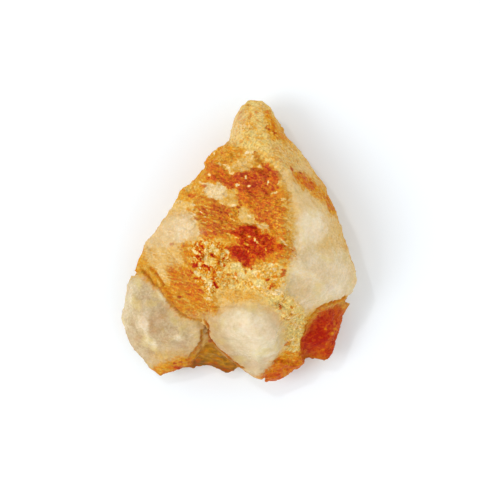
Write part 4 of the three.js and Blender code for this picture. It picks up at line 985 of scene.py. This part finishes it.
# Gives the surface its relief, and hands the painted numbers on to the material.
def finishStone(stone):
    mesh = stone.data
    points = readVectors(mesh.vertices, "co") / mm
    normals = readVectors(mesh.vertex_normals, "vector")
    fields = paintFields(points, normals)
    print("zones painted")
    shaped = shapeSurface(points, normals, fields)
    mesh.vertices.foreach_set("co", (shaped * mm).astype(np.float32).ravel())
    for name, field in fields.items():
        if name not in ("lift", "chip"):
            attribute = mesh.attributes.new(name, "FLOAT", "POINT")
            attribute.data.foreach_set("value", field.astype(np.float32))
    mesh.shade_smooth()
    mesh.update()
    print("surface shaped")


def addNode(tree, kind, **settings):
    made = tree.nodes.new(kind)
    for name, value in settings.items():
        setattr(made, name, value)
    return made


def plug(tree, value, socket):
    if isinstance(value, bpy.types.NodeSocket):
        tree.links.new(value, socket)
    else:
        socket.default_value = value


def sums(tree, operation, first, second, clamp=False):
    made = addNode(tree, "ShaderNodeMath", operation=operation, use_clamp=clamp)
    plug(tree, first, made.inputs[0])
    plug(tree, second, made.inputs[1])
    return made.outputs[0]


def times(tree, first, *others):
    for other in others:
        first = sums(tree, "MULTIPLY", first, other)
    return first


def plus(tree, first, *others):
    for other in others:
        first = sums(tree, "ADD", first, other)
    return first


# A pattern that runs from 0 to 1, made to swing about 0.
def about(tree, value, reach):
    return times(tree, sums(tree, "SUBTRACT", value, 0.5), reach)


def ramp(tree, factor, stops):
    made = addNode(tree, "ShaderNodeValToRGB")
    plug(tree, factor, made.inputs["Fac"])
    elements = made.color_ramp.elements
    while len(elements) < len(stops):
        elements.new(1.0)
    for element, (position, colour) in zip(elements, stops):
        element.position = position
        element.color = colour
    return made.outputs["Color"]


# This node has sockets for several kinds of value: 6 and 7, and 2 at the output, are the ones for colours.
def blend(tree, factor, first, second):
    made = addNode(tree, "ShaderNodeMix", data_type="RGBA")
    plug(tree, factor, made.inputs["Factor"])
    plug(tree, first, made.inputs[6])
    plug(tree, second, made.inputs[7])
    return made.outputs[2]


# The turn has a node of its own, because one mapping node scales before it turns.
def mapped(tree, pattern):
    turned = addNode(tree, "ShaderNodeMapping")
    if "lean" in pattern:
        turn = pattern["lean"] - roughStone["streakSlope"]
        turned.inputs["Rotation"].default_value = (0, 0, math.radians(turn))
    tree.links.new(addNode(tree, "ShaderNodeTexCoord").outputs["Object"], turned.inputs["Vector"])
    made = addNode(tree, "ShaderNodeMapping")
    made.inputs["Scale"].default_value = pattern["repeats"]
    made.inputs["Location"].default_value = pattern.get("shift", (0, 0, 0))
    tree.links.new(turned.outputs["Vector"], made.inputs["Vector"])
    return made.outputs["Vector"]


def cloud(tree, pattern):
    made = addNode(tree, "ShaderNodeTexNoise")
    tree.links.new(mapped(tree, pattern), made.inputs["Vector"])
    made.inputs["Scale"].default_value = 1.0
    made.inputs["Detail"].default_value = pattern["detail"]
    made.inputs["Roughness"].default_value = pattern["roughness"]
    made.inputs["Distortion"].default_value = pattern.get("distortion", 0.0)
    return made.outputs["Fac"]


def cellTone(tree, pattern):
    made = addNode(tree, "ShaderNodeTexVoronoi")
    tree.links.new(mapped(tree, pattern), made.inputs["Vector"])
    made.inputs["Scale"].default_value = 1.0
    parts = addNode(tree, "ShaderNodeSeparateColor")
    tree.links.new(made.outputs["Color"], parts.inputs["Color"])
    return parts.outputs["Red"]


def between(tree, value, low, high):
    made = addNode(tree, "ShaderNodeMapRange", interpolation_type="SMOOTHSTEP")
    tree.links.new(value, made.inputs["Value"])
    made.inputs["From Min"].default_value = low
    made.inputs["From Max"].default_value = high
    return made.outputs["Result"]


def readFields(tree):
    names = [name for name in roughStone["base"] if name != "chip"] + ["gap", "tone", "size"]
    return {name: addNode(tree, "ShaderNodeAttribute", attribute_name=name).outputs["Fac"] for name in names}


def makePatterns(tree, fields):
    made = {name: cloud(tree, pattern) for name, pattern in roughStone["clouds"].items()}
    made |= {name: cellTone(tree, pattern) for name, pattern in roughStone["cells"].items()}
    # Where the cleavage shows, small grains give way to thin layers.
    thinner = sums(tree, "SUBTRACT", made["layers"], made["grains"])
    layered = plus(tree, fields["streak"], roughStone["leastLayers"])
    made["grains"] = plus(tree, made["grains"], times(tree, thinner, layered))
    flakes = between(tree, made["flakes"], *roughStone["flakes"]["from"])
    made["flakes"] = times(tree, flakes, fields["fleck"])
    return made


# How much iron each place has: what was painted there, changed by streaks, grains, rust and flakes.
def ironShare(tree, fields, patterns):
    reach = roughStone["ironReach"]
    speck, grain = fields["speck"], fields["grain"]
    even = plus(tree, times(tree, fields["yellow"], -roughStone["evenYellow"]), 1.0)
    share = plus(
        tree, fields["iron"],
        times(tree, about(tree, patterns["streaks"], reach["streaks"]), fields["streak"]),
        times(tree, about(tree, patterns["hairs"], reach["hairs"]), fields["streak"]),
        times(tree, about(tree, patterns["patches"], reach["patches"]), even),
        times(tree, fields["tone"], reach["specks"], speck),
        times(tree, about(tree, patterns["grains"], reach["grains"]), speck, even),
        times(tree, about(tree, fields["size"], reach["bigGrains"]), grain),
        times(tree, fields["gap"], fields["rust"], grain, reach["gaps"]))
    missing = sums(tree, "SUBTRACT", roughStone["flakes"]["iron"], share)
    return plus(tree, share, times(tree, patterns["flakes"], missing))


def feldsparColour(tree, fields, patterns):
    share, lemon = ironShare(tree, fields, patterns), roughStone["lemon"]
    tint = times(tree, fields["yellow"], between(tree, share, *lemon["iron"]),
                 between(tree, patterns["patches"], *lemon["patches"]))
    return blend(tree, tint, ramp(tree, share, roughStone["ironColours"]), roughStone["yellowColour"])


def quartzColour(tree, fields, patterns):
    quartz = roughStone["quartz"]
    uneven = times(tree, about(tree, patterns["facets"], quartz["facets"]),
                   plus(tree, fields["speck"], roughStone["leastSpeck"]))
    mottle = plus(tree, about(tree, patterns["mottle"], quartz["mottle"]), uneven)
    colour = ramp(tree, plus(tree, fields["iron"], mottle), roughStone["milkColours"])
    for tint, tintColour in (("rosy", "rosyColour"), ("creamy", "yellowColour")):
        blotches = between(tree, patterns["blotches"], *roughStone[tint]["from"])
        share = times(tree, blotches, roughStone[tint]["share"])
        colour = blend(tree, share, colour, roughStone[tintColour])
    return colour


# How much of each place is quartz, with an uneven border to the feldspar.
def quartzShare(tree, fields, patterns):
    milk = fields["milk"]
    rim = times(tree, milk, sums(tree, "SUBTRACT", 1.0, milk))
    uneven = times(tree, about(tree, patterns["patches"], roughStone["quartz"]["border"]), rim)
    return sums(tree, "ADD", milk, uneven, clamp=True)


# Where the brown lies, both as stains and as painted shade, broken up by the stains pattern.
def stainAndShadeShare(tree, fields, patterns):
    stains = between(tree, patterns["stains"], *roughStone["stainAndShadeFrom"])
    return sums(tree, "MULTIPLY", stains, fields["brown"], clamp=True)


# Small grains and powder make the colour a little lighter or darker.
def shaded(tree, colour, fields, patterns):
    shade = roughStone["shade"]
    amount = plus(tree, fields["speck"], roughStone["leastSpeck"],
                  times(tree, fields["yellow"], shade["yellow"]))
    swing = plus(tree, about(tree, patterns["powder"], shade["powder"]),
                 about(tree, patterns["facets"], shade["facets"]))
    made = addNode(tree, "ShaderNodeHueSaturation")
    plug(tree, plus(tree, times(tree, swing, amount), 1.0), made.inputs["Value"])
    plug(tree, colour, made.inputs["Color"])
    return made.outputs["Color"]


def dullness(tree, fields, patterns):
    dull = roughStone["dull"]
    value = plus(tree, times(tree, fields["grain"], dull["grain"]), dull["plain"],
                 times(tree, fields["milk"], dull["milk"]), times(tree, patterns["flakes"], dull["flakes"]))
    return sums(tree, "ADD", value, about(tree, patterns["facets"], dull["facets"]), clamp=True)


def bumps(tree, fields, patterns):
    bump = roughStone["bump"]
    calm = plus(tree, times(tree, fields["milk"], -bump["calmMilk"]), 1.0)
    height = plus(tree, times(tree, patterns["pores"], bump["pores"], calm),
                  times(tree, plus(tree, patterns["streaks"], patterns["hairs"]), fields["streak"]),
                  times(tree, patterns["grains"], bump["grains"], fields["speck"]))
    made = addNode(tree, "ShaderNodeBump")
    made.inputs["Strength"].default_value = bump["strength"]
    made.inputs["Distance"].default_value = bump["depth"]
    plug(tree, height, made.inputs["Height"])
    return made.outputs["Normal"]


def makeFeldspar():
    material = bpy.data.materials.new("rough feldspar")
    material.use_nodes = True
    tree = material.node_tree
    inputs = tree.nodes["Principled BSDF"].inputs
    fields = readFields(tree)
    patterns = makePatterns(tree, fields)
    colour = blend(tree, quartzShare(tree, fields, patterns), feldsparColour(tree, fields, patterns),
                   quartzColour(tree, fields, patterns))
    colour = blend(tree, stainAndShadeShare(tree, fields, patterns), colour, roughStone["stainAndShadeColour"])
    plug(tree, shaded(tree, colour, fields, patterns), inputs["Base Color"])
    plug(tree, dullness(tree, fields, patterns), inputs["Roughness"])
    plug(tree, bumps(tree, fields, patterns), inputs["Normal"])
    inputs["IOR"].default_value = roughStone["refraction"]
    inputs["Specular IOR Level"].default_value = roughStone["shine"]
    scatter = roughStone["scatter"]
    scattered = plus(tree, times(tree, fields["milk"], scatter["milk"]), scatter["plain"])
    plug(tree, scattered, inputs["Subsurface Weight"])
    inputs["Subsurface Radius"].default_value = scatter["radius"]
    inputs["Subsurface Scale"].default_value = scatter["scale"]
    return material


stone = makeStone()
refineStone(stone)
finishStone(stone)
stone.data.materials.clear()
stone.data.materials.append(makeFeldspar())
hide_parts("sunstone")
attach(stone, "root")
print("stone finished")
